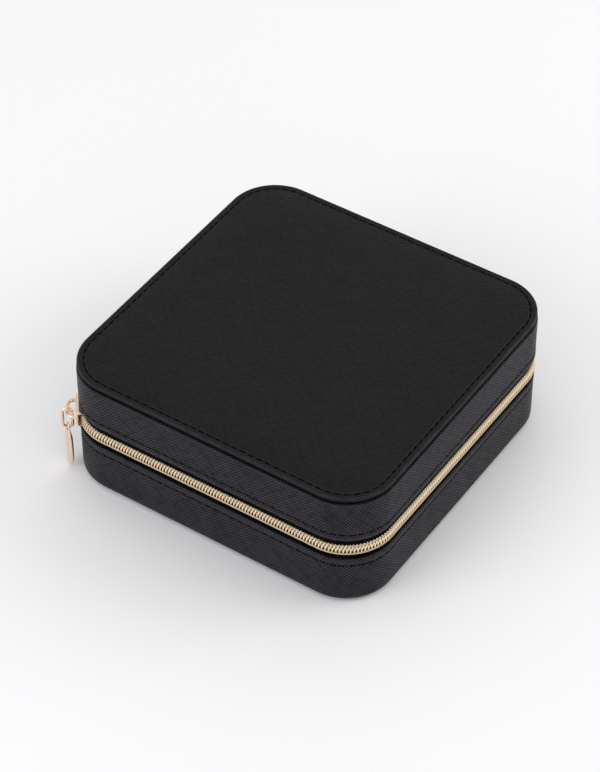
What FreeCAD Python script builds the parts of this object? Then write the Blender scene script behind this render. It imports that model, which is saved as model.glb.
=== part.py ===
import FreeCAD, Part
import math
import os

V = FreeCAD.Vector

# Outer sizes of the closed case, leather included
SIDE = 160.0
CORNER_R = 23.3
BASE_RIM_Z = 26.5
LOWER_TAPE_SHOWN = 3.4
CHAIN_W = 6.2
UPPER_TAPE_SHOWN = 2.0
LID_BAND_H = 22.4
PANEL_T = 2.6
PANEL_INSET = 0.5
PANEL_CROWN = 1.2
PANEL_GROOVE = 0.1
PANEL_ROLL_R = 1.5
PANEL_UNDERCUT = 0.8

# Sheet thicknesses and the film of glue between layers
LEATHER_T = 1.2
PANEL_LEATHER_T = 0.9
BOARD_T = 2.2
LINING_T = 0.8
FLOOR_LINING_T = 1.0
COVER_T = 0.7
TAPE_T = 0.7
GLUE = 0.1

# Edges and turned-in leather
BOTTOM_EDGE_R = 3.0
BAND_EDGE = 0.4
EDGE_FACETS = 2
LID_SHOULDER = 1.0
TURN_IN = 9.0
COVER_INSET = 4.0
RIM_LIP_T = 0.8
TAPE_SEWN = 8.0

# Padded field of the top panel
STITCH_INSET = 2.8
STITCH_CHANNEL_W = 0.9
STITCH_CHANNEL_D = 0.35
PAD_SHOULDER = 4.0
PAD_FLANK = 9.0
PAD_SHOULDER_SHARE = 0.65
FOAM_EDGE = 3.0

# Zip coil
PITCH = 1.5
TOOTH_W = 0.7
TOOTH_REACH = 0.6
COIL_T = 1.5
COIL_LIFT = 0.05
TAPE_GAP = 2.8
FLEX_STRAIGHT = 9.0
COIL_END_ANGLE = 62.0

# Zip stops
STOP_L = 2.4
STOP_T = 0.9
STOP_W = 1.8
STOP_GAP = 1.0
STOP_BEVEL = 0.25

# Slider
SLIDER_ANGLE = 126.0
SLIDER_L = 15.0
SLIDER_TAIL_W = 8.4
SLIDER_NOSE_W = 9.4
SLIDER_NOSE_TAPER = 2.8
SLIDER_PLATE_T = 1.0
SLIDER_CLEAR = 0.25
SLIDER_FLANGE = 0.8
SLIDER_CORNER_R = 1.2
NECK_L = 3.6
NECK_W = 1.9
NECK_SET = 1.0

# Crown loop on the slider
CROWN_L = 10.0
CROWN_BAR = 1.4
CROWN_W = 1.6
CROWN_OPEN = 3.3
CROWN_R = 2.4
CROWN_FOOT = 1.5
CROWN_BEVEL = 0.3

# Pull link and pull tab
LINK_WIRE = 1.4
LINK_CLEAR = 0.4
LINK_PITCH = 7.0
LINK_SET = 2.0
TAB_EYE_T = 1.1
TAB_T = 2.8
TAB_W = 8.6
TAB_BELLY = 13.5
TAB_TIP_R = 1.9
TAB_EYE_RIM = 1.0
TAB_HOLE_CLEAR = 0.9
TAB_FLOOR_GAP = 1.4
TAB_TWIST = 18.0
TAB_EDGE_R = 0.7

# Hinge strips at the back
HINGE_LINING_T = 0.6
HINGE_LINING_LAP = 5.0
HINGE_LINING_L = 104.0

# Inside of the base
DIVIDER_T = 2.4
DIVIDER_TOP_DROP = 2.5
DIVIDER_CLEAR = 0.3
DIVIDER_EDGE = 0.8
ROLL_COUNT = 6
ROLL_D = 16.2
ROLL_GAP = 0.3
ROLL_FLAT = 1.6
ROLL_LEAN = 3.0
MIDDLE_X = 10.0

# Mirror in the lid
MIRROR_SIDE = 112.0
MIRROR_R = 8.0
MIRROR_T = 2.0
FRAME_MARGIN = 7.0
FRAME_LIP = 3.0
FRAME_T = 3.2

# Levels and offsets that follow from the sizes above
HALF = SIDE / 2
ARC_C = HALF - CORNER_R
ZIP_Z = BASE_RIM_Z + LOWER_TAPE_SHOWN + CHAIN_W / 2
LID_RIM_Z = ZIP_Z + CHAIN_W / 2 + UPPER_TAPE_SHOWN
LID_BAND_TOP = LID_RIM_Z + LID_BAND_H
PANEL_Z = LID_BAND_TOP + PANEL_GROOVE
PANEL_TOP = PANEL_Z + PANEL_T
BAND_Z = COVER_T + GLUE
BOARD_OUT = LEATHER_T + GLUE
TAPE_OUT = BOARD_OUT
TAPE_IN = TAPE_OUT + TAPE_T
REBATE_IN = TAPE_IN + GLUE
BOARD_IN = REBATE_IN + BOARD_T
LINING_OUT = BOARD_IN + GLUE
LINING_IN = LINING_OUT + LINING_T
FLOOR_Z = BAND_Z + LEATHER_T + GLUE
FLOOR_TOP = FLOOR_Z + BOARD_T
FLOOR_LINING_Z = FLOOR_TOP + GLUE
FLOOR_LINING_TOP = FLOOR_LINING_Z + FLOOR_LINING_T
INNER_HALF = HALF - LINING_IN
TAPE_LOW_Z = BASE_RIM_Z - TAPE_SEWN
TAPE_HIGH_Z = LID_RIM_Z + TAPE_SEWN
LID_FLANGE_Z = LID_BAND_TOP - LEATHER_T
LID_BOARD_TOP = LID_FLANGE_Z - GLUE
LID_BOARD_Z = LID_BOARD_TOP - BOARD_T
CEILING_TOP = LID_BOARD_Z - GLUE
CEILING_Z = CEILING_TOP - FLOOR_LINING_T
COIL_IN = TAPE_OUT - COIL_LIFT
COIL_OUT = COIL_IN - COIL_T
COIL_MID = (COIL_IN + COIL_OUT) / 2
FLEX_Y = ARC_C - FLEX_STRAIGHT


def outline(half_x, half_y, radius, z):
    """Closed rounded rectangle at height z."""
    cx = half_x - radius
    cy = half_y - radius
    edges = []
    for k in range(4):
        start = math.radians(90 * k)
        sx = 1 if k in (0, 3) else -1
        sy = 1 if k in (0, 1) else -1
        centre = V(sx * cx, sy * cy, z)
        points = []
        for turn in (0, 45, 90):
            a = start + math.radians(turn)
            points.append(centre + V(radius * math.cos(a), radius * math.sin(a), 0))
        edges.append(points)
    wire = []
    for k in range(4):
        a, b, c = edges[k]
        wire.append(Part.Arc(a, b, c).toShape())
        wire.append(Part.LineSegment(c, edges[(k + 1) % 4][0]).toShape())
    return Part.Wire(wire)


def block(half_x, half_y, radius, z0, z1):
    face = Part.Face(outline(half_x, half_y, radius, z0))
    return face.extrude(V(0, 0, z1 - z0))


def slab(inset, z0, z1):
    """The case outline, drawn in by inset, between two heights."""
    return block(HALF - inset, HALF - inset, CORNER_R - inset, z0, z1)


def around(section):
    """Carry a closed section of (inset, z) points round the case: turned corners, straight sides."""
    points = [V(CORNER_R - inset, 0, z) for inset, z in section]
    face = Part.Face(Part.makePolygon(points + points[:1]))
    corner = face.revolve(V(0, 0, 0), V(0, 0, 1), 90)
    side = face.extrude(V(0, -2 * ARC_C, 0))
    pieces = []
    for k, (sx, sy) in enumerate(((1, 1), (-1, 1), (-1, -1), (1, -1))):
        for form in (corner, side):
            copy = form.copy()
            copy.rotate(V(0, 0, 0), V(0, 0, 1), 90 * k)
            copy.translate(V(sx * ARC_C, sy * ARC_C, 0))
            pieces.append(copy)
    heights = [z for inset, z in section if inset == CORNER_R]
    if heights:
        pieces.append(box(-ARC_C, ARC_C, -ARC_C, ARC_C, min(heights), max(heights)))
    return fuse(pieces)


def quarter(inset, z, radius, start, facets):
    """Points of a rounded edge: a quarter circle from the angle start, in equal facets."""
    points = []
    for i in range(facets + 1):
        a = math.radians(start + 90 * i / facets)
        points.append((inset - radius * math.cos(a), z + radius * math.sin(a)))
    return points


def box(x0, x1, y0, y1, z0, z1):
    return Part.makeBox(x1 - x0, y1 - y0, z1 - z0, V(x0, y0, z0))


def round_edges(shape, radius, pick):
    chosen = [e for e in shape.Edges if pick(e.BoundBox)]
    return shape.makeFillet(radius, chosen)


def bevel_edges(shape, size, pick):
    chosen = [e for e in shape.Edges if pick(e.BoundBox)]
    return shape.makeChamfer(size, chosen)


def at_height(z):
    def pick(b):
        return abs(b.ZMin - z) < 1e-4 and abs(b.ZMax - z) < 1e-4
    return pick


def save(name, shape):
    os.makedirs("parts", exist_ok=True)
    shape.exportStep("parts/" + name + ".step")
    print(name, len(shape.Solids), round(shape.Volume, 1), shape.isValid())


def fuse(shapes):
    return shapes[0].fuse(shapes[1:]).removeSplitter()


# Base: boards, leather, cover and lining
def base_side_leather():
    inner_z = BAND_Z + LEATHER_T
    section = quarter(BOTTOM_EDGE_R, BAND_Z + BOTTOM_EDGE_R, BOTTOM_EDGE_R, -90, EDGE_FACETS)
    section += [(0, BASE_RIM_Z - BAND_EDGE), (BAND_EDGE, BASE_RIM_Z), (LEATHER_T, BASE_RIM_Z)]
    section += [(LEATHER_T, inner_z), (TURN_IN, inner_z), (TURN_IN, BAND_Z)]
    return around(section)


def base_floor_board():
    return slab(BOARD_OUT, FLOOR_Z, FLOOR_TOP)


def base_wall_board():
    low = FLOOR_TOP + GLUE
    top = BASE_RIM_Z - RIM_LIP_T - GLUE
    step = TAPE_LOW_Z - GLUE
    section = [(BOARD_OUT, low), (BOARD_OUT, step), (REBATE_IN, step), (REBATE_IN, top)]
    section += [(BOARD_IN, top), (BOARD_IN, low)]
    return around(section)


def base_wall_lining():
    low = FLOOR_LINING_TOP + GLUE
    lip = BASE_RIM_Z - RIM_LIP_T
    section = [(LINING_OUT, low), (LINING_OUT, lip), (REBATE_IN, lip), (REBATE_IN, BASE_RIM_Z)]
    section += [(LINING_IN, BASE_RIM_Z), (LINING_IN, low)]
    return around(section)


def base_floor_lining():
    return slab(LINING_OUT, FLOOR_LINING_Z, FLOOR_LINING_TOP)


def base_bottom_infill():
    return slab(TURN_IN + GLUE, BAND_Z, FLOOR_Z - GLUE)


def base_bottom_cover():
    return slab(COVER_INSET, 0, COVER_T)


# Lid: boards, leather, padded top panel and lining
def lid_side_leather():
    section = [(LEATHER_T, LID_RIM_Z), (BAND_EDGE, LID_RIM_Z), (0, LID_RIM_Z + BAND_EDGE)]
    section += [(0, LID_BAND_TOP - LID_SHOULDER), (LID_SHOULDER, LID_BAND_TOP)]
    section += [(TURN_IN, LID_BAND_TOP), (TURN_IN, LID_FLANGE_Z), (LEATHER_T, LID_FLANGE_Z)]
    return around(section)


def lid_wall_board():
    low = LID_RIM_Z + RIM_LIP_T + GLUE
    top = LID_BOARD_Z - GLUE
    step = TAPE_HIGH_Z + GLUE
    section = [(BOARD_IN, low), (REBATE_IN, low), (REBATE_IN, step), (BOARD_OUT, step)]
    section += [(BOARD_OUT, top), (BOARD_IN, top)]
    return around(section)


def lid_top_board():
    return slab(BOARD_OUT, LID_BOARD_Z, LID_BOARD_TOP)


def lid_infill_card():
    return slab(TURN_IN + GLUE, LID_FLANGE_Z, PANEL_Z + PANEL_LEATHER_T)


def lid_wall_lining():
    top = CEILING_Z - GLUE
    lip = LID_RIM_Z + RIM_LIP_T
    section = [(LINING_IN, LID_RIM_Z), (REBATE_IN, LID_RIM_Z), (REBATE_IN, lip), (LINING_OUT, lip)]
    section += [(LINING_OUT, top), (LINING_IN, top)]
    return around(section)


def lid_ceiling_lining():
    return slab(LINING_OUT, CEILING_Z, CEILING_TOP)


# Top panel: a card and a foam sheet wrapped in leather that is turned in underneath
PAD_INSET = STITCH_INSET + STITCH_CHANNEL_W
SHOULDER_INSET = PAD_INSET + PAD_SHOULDER
FLAT_INSET = SHOULDER_INSET + PAD_FLANK
SHOULDER_RISE = PANEL_CROWN * PAD_SHOULDER_SHARE
CARD_Z = PANEL_Z + PANEL_LEATHER_T + GLUE
CARD_TOP = PANEL_TOP - PANEL_LEATHER_T - GLUE


def foam_line(start, z):
    """Upper line of the foam from its edge to the flat middle, over the level z."""
    first = PANEL_CROWN * (start - PAD_INSET) / (FLAT_INSET - PAD_INSET)
    return [(start, z + first), (FLAT_INSET, z + PANEL_CROWN), (CORNER_R, z + PANEL_CROWN)]


def top_panel_leather():
    inner = PANEL_INSET + PANEL_LEATHER_T
    under = PANEL_Z + PANEL_LEATHER_T
    section = [(TURN_IN, PANEL_Z), (PANEL_INSET + PANEL_UNDERCUT, PANEL_Z)]
    section += [(PANEL_INSET, PANEL_Z + PANEL_UNDERCUT)]
    roll_in = PANEL_INSET + PANEL_ROLL_R
    section += quarter(roll_in, PANEL_TOP - PANEL_ROLL_R, PANEL_ROLL_R, 0, EDGE_FACETS)
    section += [(STITCH_INSET, PANEL_TOP)]
    section += [(STITCH_INSET + STITCH_CHANNEL_W / 2, PANEL_TOP - STITCH_CHANNEL_D)]
    section += [(PAD_INSET, PANEL_TOP), (SHOULDER_INSET, PANEL_TOP + SHOULDER_RISE)]
    section += [(FLAT_INSET, PANEL_TOP + PANEL_CROWN), (CORNER_R, PANEL_TOP + PANEL_CROWN)]
    section += reversed(foam_line(PAD_INSET, PANEL_TOP - PANEL_LEATHER_T))
    section += [(inner, PANEL_TOP - PANEL_LEATHER_T), (inner, under), (TURN_IN, under)]
    return around(section)


def top_panel_card():
    return slab(PANEL_INSET + PANEL_LEATHER_T + GLUE, CARD_Z, CARD_TOP)


def top_panel_foam():
    start = PAD_INSET + FOAM_EDGE
    low = PANEL_TOP - PANEL_LEATHER_T
    return around([(start, low)] + foam_line(start, low - GLUE) + [(CORNER_R, low)])


# Zip tapes: strips along the outline, left open along the hinge
def tape_ring(z0, z1):
    strip = around([(TAPE_OUT, z0), (TAPE_OUT, z1), (TAPE_IN, z1), (TAPE_IN, z0)])
    return strip.cut(box(-ARC_C, ARC_C, 0, SIDE, z0 - 1, z1 + 1))


LOWER_TAPE_TOP = ZIP_Z - TAPE_GAP / 2
UPPER_TAPE_LOW = ZIP_Z + TAPE_GAP / 2


def lower_zip_tape():
    return tape_ring(TAPE_LOW_Z, LOWER_TAPE_TOP)


def upper_zip_tape():
    strip = tape_ring(UPPER_TAPE_LOW, TAPE_HIGH_Z)
    return strip.cut(box(-SIDE, SIDE, FLEX_Y, SIDE, 0, TAPE_HIGH_Z + 1))


def upper_tape_ends():
    strip = tape_ring(UPPER_TAPE_LOW, TAPE_HIGH_Z)
    return strip.cut(box(-SIDE, SIDE, -SIDE, FLEX_Y + GLUE, 0, TAPE_HIGH_Z + 1))


# Zip coil: ridged teeth set out along the outline, each row half a pitch from the other
PATH_R = CORNER_R - COIL_MID
PATH_ARC = PATH_R * math.pi / 2
PATH_LINE = 2 * ARC_C
PATH_LENGTH = 4 * PATH_ARC + 3 * PATH_LINE


def path_frame(s):
    """Corner or line centre, outward angle and shift along the side at path length s."""
    angle = 90.0
    corners = [(-1, 1), (-1, -1), (1, -1), (1, 1)]
    for k, (sx, sy) in enumerate(corners):
        if s <= PATH_ARC or k == 3:
            return V(sx * ARC_C, sy * ARC_C, 0), angle + 90.0 * s / PATH_ARC
        s -= PATH_ARC
        angle += 90.0
        if s <= PATH_LINE:
            along = V(-math.sin(math.radians(angle)), math.cos(math.radians(angle)), 0)
            return V(sx * ARC_C, sy * ARC_C, 0) + along * s, angle
        s -= PATH_LINE


def tooth(root_z, tip_z):
    """One tooth: a ridge from root to tip, its back on the tape and its crest outward along X."""
    r0 = CORNER_R - COIL_IN
    half = TOOTH_W / 2
    corners = [V(r0, -half, root_z), V(r0, half, root_z), V(r0 + COIL_T, 0, root_z)]
    face = Part.Face(Part.makePolygon(corners + corners[:1]))
    return face.extrude(V(0, 0, tip_z - root_z))


def tooth_row(root_z, tip_z, shift, wanted):
    first = PATH_ARC * (SLIDER_ANGLE - 90) / 90
    last = PATH_LENGTH - PATH_ARC * (90 - COIL_END_ANGLE) / 90
    form = tooth(root_z, tip_z)
    count = int((last - first) / PITCH)
    teeth = []
    for i in range(count):
        s = first + shift + i * PITCH
        if not wanted(s):
            continue
        centre, angle = path_frame(s)
        copy = form.copy()
        copy.rotate(V(0, 0, 0), V(0, 0, 1), angle)
        copy.translate(centre)
        teeth.append(copy)
    return Part.makeCompound(teeth)


LEFT_END = PATH_ARC + FLEX_STRAIGHT
RIGHT_END = PATH_LENGTH - PATH_ARC - FLEX_STRAIGHT
LOWER_ROOT = ZIP_Z - CHAIN_W / 2
UPPER_ROOT = ZIP_Z + CHAIN_W / 2
LOWER_TIP = ZIP_Z + TOOTH_REACH
UPPER_TIP = ZIP_Z - TOOTH_REACH


def lower_zip_coil():
    return tooth_row(LOWER_ROOT, LOWER_TIP, 0, lambda s: s > LEFT_END)


def lower_coil_end():
    return tooth_row(LOWER_ROOT, LOWER_TIP, 0, lambda s: s <= LEFT_END)


def upper_zip_coil():
    return tooth_row(UPPER_ROOT, UPPER_TIP, PITCH / 2, lambda s: LEFT_END < s < RIGHT_END)


def upper_coil_ends():
    return tooth_row(UPPER_ROOT, UPPER_TIP, PITCH / 2, lambda s: s <= LEFT_END or s >= RIGHT_END)


# Zip stops: small crimped blocks on the tape
STOP_R = CORNER_R - TAPE_OUT + COIL_LIFT


def stop_block(z0, z1, corner_x, angle):
    top = STOP_R + STOP_T
    stop = box(STOP_R, top, -STOP_L / 2, STOP_L / 2, z0, z1)
    stop = bevel_edges(stop, STOP_BEVEL, lambda b: b.XMin > top - 1e-4)
    stop.rotate(V(0, 0, 0), V(0, 0, 1), angle)
    stop.translate(V(corner_x * ARC_C, ARC_C, 0))
    return stop


def turn_of(length):
    return math.degrees(length / PATH_R)


TOP_STOP_ANGLE = SLIDER_ANGLE - turn_of(SLIDER_L / 2 + STOP_GAP + STOP_L / 2)
BOTTOM_STOP_ANGLE = COIL_END_ANGLE + turn_of(STOP_GAP + STOP_L / 2)


def lower_top_stop():
    return stop_block(LOWER_TAPE_TOP - STOP_W, LOWER_TAPE_TOP, -1, TOP_STOP_ANGLE)


def upper_top_stop():
    return stop_block(UPPER_TAPE_LOW, UPPER_TAPE_LOW + STOP_W, -1, TOP_STOP_ANGLE)


def zip_bottom_stop():
    return stop_block(LOWER_TAPE_TOP - STOP_W, UPPER_TAPE_LOW + STOP_W, 1, BOTTOM_STOP_ANGLE)


# Hinge: leather strip in the tape's layer, and a lining strip inside
def hinge_leather():
    reach = ARC_C - GLUE
    return box(-reach, reach, HALF - TAPE_IN, HALF - TAPE_OUT, TAPE_LOW_Z, TAPE_HIGH_Z)


def hinge_lining():
    y1 = HALF - LINING_IN - GLUE
    z0 = BASE_RIM_Z - HINGE_LINING_LAP
    z1 = LID_RIM_Z + HINGE_LINING_LAP
    half = HINGE_LINING_L / 2
    return box(-half, half, y1 - HINGE_LINING_T, y1, z0, z1)


# Slider: built with its outward side along X from the corner's centre, then turned into place
COIL_OUT_R = CORNER_R - COIL_OUT
TAPE_OUT_R = CORNER_R - TAPE_OUT
TAPE_IN_R = CORNER_R - TAPE_IN
PLATE_X = COIL_OUT_R + SLIDER_CLEAR
PLATE_TOP_X = PLATE_X + SLIDER_PLATE_T
FLANGE_X = TAPE_OUT_R + SLIDER_CLEAR
BACK_X = math.sqrt(TAPE_IN_R ** 2 - (SLIDER_L / 2) ** 2) - SLIDER_CLEAR
BAR_X = PLATE_TOP_X + CROWN_OPEN + CROWN_BAR / 2


def place_on_corner(shape):
    shape.rotate(V(0, 0, 0), V(0, 0, 1), SLIDER_ANGLE)
    shape.translate(V(-ARC_C, ARC_C, ZIP_Z))
    return shape


def flat_prism(points, x0, x1):
    """Prism along X over a polygon in Y and Z."""
    corners = [V(x0, y, z) for y, z in points]
    return Part.Face(Part.makePolygon(corners + corners[:1])).extrude(V(x1 - x0, 0, 0))


def shield():
    """Outline of the slider's plates: narrow tail, wide shoulders, tapered nose."""
    tail = SLIDER_L / 2
    nose = -SLIDER_L / 2
    shoulder = nose + SLIDER_NOSE_TAPER
    tail_h = SLIDER_TAIL_W / 2
    nose_h = SLIDER_NOSE_W / 2
    tip_h = nose_h - SLIDER_NOSE_TAPER * 0.7
    upper = [(tail, tail_h), (shoulder, nose_h), (nose, tip_h)]
    return upper + [(y, -z) for y, z in reversed(upper)]


def shield_plate(x0, x1):
    plate = flat_prism(shield(), x0, x1)
    upright = [e for e in plate.Edges if e.BoundBox.XLength > 0.5 * (x1 - x0)]
    return plate.makeFillet(SLIDER_CORNER_R, upright)


def slider_body():
    top = shield_plate(FLANGE_X, PLATE_TOP_X)
    slot_h = SLIDER_TAIL_W / 2 - SLIDER_FLANGE
    end = SLIDER_L / 2 + 1
    open_h = SLIDER_NOSE_W / 2 + 1
    slot = [(end, slot_h), (0, slot_h), (-end, open_h), (-end, -open_h), (0, -slot_h), (end, -slot_h)]
    top = top.cut(flat_prism(slot, FLANGE_X - 1, PLATE_X))
    back = shield_plate(BACK_X - SLIDER_PLATE_T, BACK_X)
    front = -SLIDER_L / 2 + NECK_SET
    middle = front + NECK_L / 2
    diamond = [(front, 0), (middle, NECK_W / 2), (front + NECK_L, 0), (middle, -NECK_W / 2)]
    neck = flat_prism(diamond, BACK_X - SLIDER_PLATE_T / 2, PLATE_X + SLIDER_PLATE_T / 2)
    body = fuse([top, back, neck])
    rim = [e for e in body.Edges if e.BoundBox.XMin > PLATE_TOP_X - 1e-4]
    body = body.makeChamfer(0.3 * SLIDER_PLATE_T, rim)
    return place_on_corner(body)


def slider_crown():
    y0 = -CROWN_L / 2
    y1 = CROWN_L / 2
    top = BAR_X + CROWN_BAR / 2
    arch = box(PLATE_TOP_X, top, y0, y1, -CROWN_W / 2, CROWN_W / 2)
    arch = round_edges(arch, CROWN_R, lambda b: b.XMin > top - 1e-4 and b.YLength < 1e-4)
    inner = BAR_X - CROWN_BAR / 2
    gap = box(PLATE_TOP_X - 1, inner, y0 + CROWN_FOOT, y1 - CROWN_FOOT, -CROWN_W, CROWN_W)
    gap = round_edges(gap, CROWN_R - CROWN_BAR, lambda b: b.XMin > inner - 1e-4 and b.YLength < 1e-4)
    arch = arch.cut(gap)
    arch = bevel_edges(arch, CROWN_BEVEL, lambda b: b.ZLength < 1e-4 and b.XMax > PLATE_TOP_X + 0.1)
    return place_on_corner(arch)


# Pull link: flat loop round the crown's bar; pull tab: petal hung in the link's lower bend
LINK_IN_R = math.hypot(CROWN_BAR, CROWN_W) / 2 + LINK_CLEAR
LINK_OUT_R = LINK_IN_R + LINK_WIRE
LINK_MID_R = LINK_IN_R + LINK_WIRE / 2
TAB_PIVOT_Z = -LINK_PITCH - LINK_MID_R


def loop_prism(radius, y0, y1):
    """Upright rounded slot of the link, as a prism along Y."""
    low = -LINK_PITCH
    a = V(BAR_X - radius, y0, 0)
    b = V(BAR_X, y0, radius)
    c = V(BAR_X + radius, y0, 0)
    d = V(BAR_X + radius, y0, low)
    e = V(BAR_X, y0, low - radius)
    f = V(BAR_X - radius, y0, low)
    wire = Part.Wire([
        Part.Arc(a, b, c).toShape(),
        Part.LineSegment(c, d).toShape(),
        Part.Arc(d, e, f).toShape(),
        Part.LineSegment(f, a).toShape(),
    ])
    return Part.Face(wire).extrude(V(0, y1 - y0, 0))


def outermost(edge):
    """Edges on the link's outer line."""
    bounds = edge.BoundBox
    return bounds.XMax > BAR_X + LINK_IN_R + 0.1 or bounds.XMin < BAR_X - LINK_IN_R - 0.1


def pull_link():
    y0 = LINK_SET - LINK_WIRE / 2
    y1 = LINK_SET + LINK_WIRE / 2
    loop = loop_prism(LINK_OUT_R, y0, y1).cut(loop_prism(LINK_IN_R, y0 - 1, y1 + 1))
    sides = [e for e in loop.Edges if e.BoundBox.YLength < 1e-4 and outermost(e)]
    loop = loop.makeChamfer(0.25 * LINK_WIRE, sides)
    return place_on_corner(loop)


def petal(circles):
    """Outline in Y and Z round circles on one upright line, given from top to bottom as (z, radius)."""
    right = []
    for (za, ra), (zb, rb) in zip(circles, circles[1:]):
        lean = math.asin((rb - ra) / (za - zb))
        for z, r in ((za, ra), (zb, rb)):
            right.append(V(0, r * math.cos(lean), z + r * math.sin(lean)))
    left = [V(0, -q.y, q.z) for q in right]
    mids = [V(0, r, z) for z, r in circles[1:-1]]
    edges = [Part.Arc(left[0], V(0, 0, circles[0][0] + circles[0][1]), right[0]).toShape()]
    for k in range(len(circles) - 1):
        edges.append(Part.LineSegment(right[2 * k], right[2 * k + 1]).toShape())
        if k < len(mids):
            edges.append(Part.Arc(right[2 * k + 1], mids[k], right[2 * k + 2]).toShape())
    edges.append(Part.Arc(right[-1], V(0, 0, circles[-1][0] - circles[-1][1]), left[-1]).toShape())
    for k in reversed(range(len(circles) - 1)):
        edges.append(Part.LineSegment(left[2 * k + 1], left[2 * k]).toShape())
        if k > 0:
            middle = V(0, -mids[k - 1].y, mids[k - 1].z)
            edges.append(Part.Arc(left[2 * k], middle, left[2 * k - 1]).toShape())
    return Part.Wire(edges)


def pull_tab():
    hole_r = LINK_WIRE / 2 + TAB_HOLE_CLEAR
    eye_r = hole_r + TAB_EYE_RIM
    length = ZIP_Z + TAB_PIVOT_Z - TAB_FLOOR_GAP
    wire = petal([(0, eye_r), (-TAB_BELLY, TAB_W / 2), (TAB_TIP_R - length, TAB_TIP_R)])
    tab = Part.Face(wire).extrude(V(TAB_T, 0, 0))
    tab.translate(V(-TAB_T / 2, 0, 0))
    rim = [e for e in tab.Edges if e.BoundBox.XLength < 1e-4]
    tab = tab.makeChamfer(TAB_EDGE_R, rim)
    thin_z = -LINK_WIRE / 2 - TAB_HOLE_CLEAR
    for side in (-1, 1):
        x0 = TAB_EYE_T / 2 if side > 0 else -TAB_T
        x1 = TAB_T if side > 0 else -TAB_EYE_T / 2
        tab = tab.cut(box(x0, x1, -TAB_W, TAB_W, thin_z, eye_r + 1))
    hole = Part.makeCylinder(hole_r, 2 * TAB_T, V(-TAB_T, 0, 0), V(1, 0, 0))
    tab = tab.cut(hole)
    tab.rotate(V(0, 0, 0), V(0, 0, 1), TAB_TWIST)
    tab.translate(V(BAR_X, LINK_SET, TAB_PIVOT_Z))
    return place_on_corner(tab)


# Inside of the base: soft ring rolls and covered dividers
DIVIDER_Z = FLOOR_LINING_TOP + GLUE
DIVIDER_TOP = BASE_RIM_Z - DIVIDER_TOP_DROP
ROLL_STEP = ROLL_D + ROLL_GAP
BAY_HALF = (ROLL_COUNT * ROLL_STEP + ROLL_GAP) / 2
LONG_Y = BAY_HALF + DIVIDER_T / 2
BAY_X0 = -INNER_HALF + DIVIDER_CLEAR
BAY_X1 = INNER_HALF - DIVIDER_CLEAR
MIDDLE_X0 = MIDDLE_X - DIVIDER_T / 2
MIDDLE_X1 = MIDDLE_X + DIVIDER_T / 2


def divider(x0, x1, y0, y1):
    wall = box(x0, x1, y0, y1, DIVIDER_Z, DIVIDER_TOP)
    return bevel_edges(wall, DIVIDER_EDGE, at_height(DIVIDER_TOP))


def long_divider(side):
    y = side * LONG_Y
    return divider(BAY_X0, BAY_X1, y - DIVIDER_T / 2, y + DIVIDER_T / 2)


def middle_divider():
    reach = BAY_HALF - DIVIDER_CLEAR
    return divider(MIDDLE_X0, MIDDLE_X1, -reach, reach)


def short_divider():
    return divider(MIDDLE_X1 + DIVIDER_CLEAR, BAY_X1, -DIVIDER_T / 2, DIVIDER_T / 2)


def ring_roll(number):
    y = -BAY_HALF + ROLL_GAP + ROLL_D / 2 + number * ROLL_STEP
    length = MIDDLE_X0 - DIVIDER_CLEAR - BAY_X0
    z = DIVIDER_Z + ROLL_D / 2 - ROLL_FLAT
    roll = Part.makeCylinder(ROLL_D / 2, length, V(BAY_X0, y, z), V(1, 0, 0))
    roll = roll.cut(box(-SIDE, SIDE, y - ROLL_D, y + ROLL_D, z - ROLL_D, DIVIDER_Z))
    top = z + ROLL_D / 2
    for x, inward in ((BAY_X0, 1), (BAY_X0 + length, -1)):
        y0 = y - ROLL_D
        corners = [V(x, y0, DIVIDER_Z), V(x, y0, top), V(x + inward * ROLL_LEAN, y0, top)]
        wedge = Part.Face(Part.makePolygon(corners + corners[:1])).extrude(V(0, 2 * ROLL_D, 0))
        roll = roll.cut(wedge)
    return roll


# Inside of the lid: mirror in a covered frame
FRAME_TOP = CEILING_Z - GLUE
MIRROR_Z = FRAME_TOP - MIRROR_T


def mirror_glass():
    half = MIRROR_SIDE / 2
    return block(half, half, MIRROR_R, MIRROR_Z, FRAME_TOP)


def mirror_frame():
    out = MIRROR_SIDE / 2 + FRAME_MARGIN
    seat = MIRROR_SIDE / 2 + GLUE
    sight = MIRROR_SIDE / 2 - FRAME_LIP
    low = FRAME_TOP - FRAME_T
    frame = block(out, out, MIRROR_R + FRAME_MARGIN, low, FRAME_TOP)
    frame = frame.cut(block(seat, seat, MIRROR_R + GLUE, MIRROR_Z - GLUE, FRAME_TOP + 1))
    return frame.cut(block(sight, sight, MIRROR_R - FRAME_LIP, low - 1, FRAME_TOP))


PIECES = [
    base_floor_board, base_wall_board, base_side_leather, base_bottom_infill, base_bottom_cover,
    base_wall_lining, base_floor_lining, middle_divider, short_divider,
    lower_zip_tape, lower_zip_coil, lower_coil_end, lower_top_stop, zip_bottom_stop,
    hinge_leather, hinge_lining,
    lid_top_board, lid_wall_board, lid_side_leather, lid_infill_card,
    top_panel_card, top_panel_foam, top_panel_leather, lid_wall_lining, lid_ceiling_lining,
    mirror_glass, mirror_frame, upper_zip_tape, upper_zip_coil,
    upper_tape_ends, upper_coil_ends, upper_top_stop,
    slider_body, slider_crown, pull_link, pull_tab,
]

for piece in PIECES:
    save(piece.__name__, piece())

save("front_divider", long_divider(-1))
save("back_divider", long_divider(1))
for n in range(ROLL_COUNT):
    save("ring_roll_" + str(n + 1), ring_roll(n))
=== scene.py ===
import bmesh
import bpy
import math
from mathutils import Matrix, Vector, noise


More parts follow.
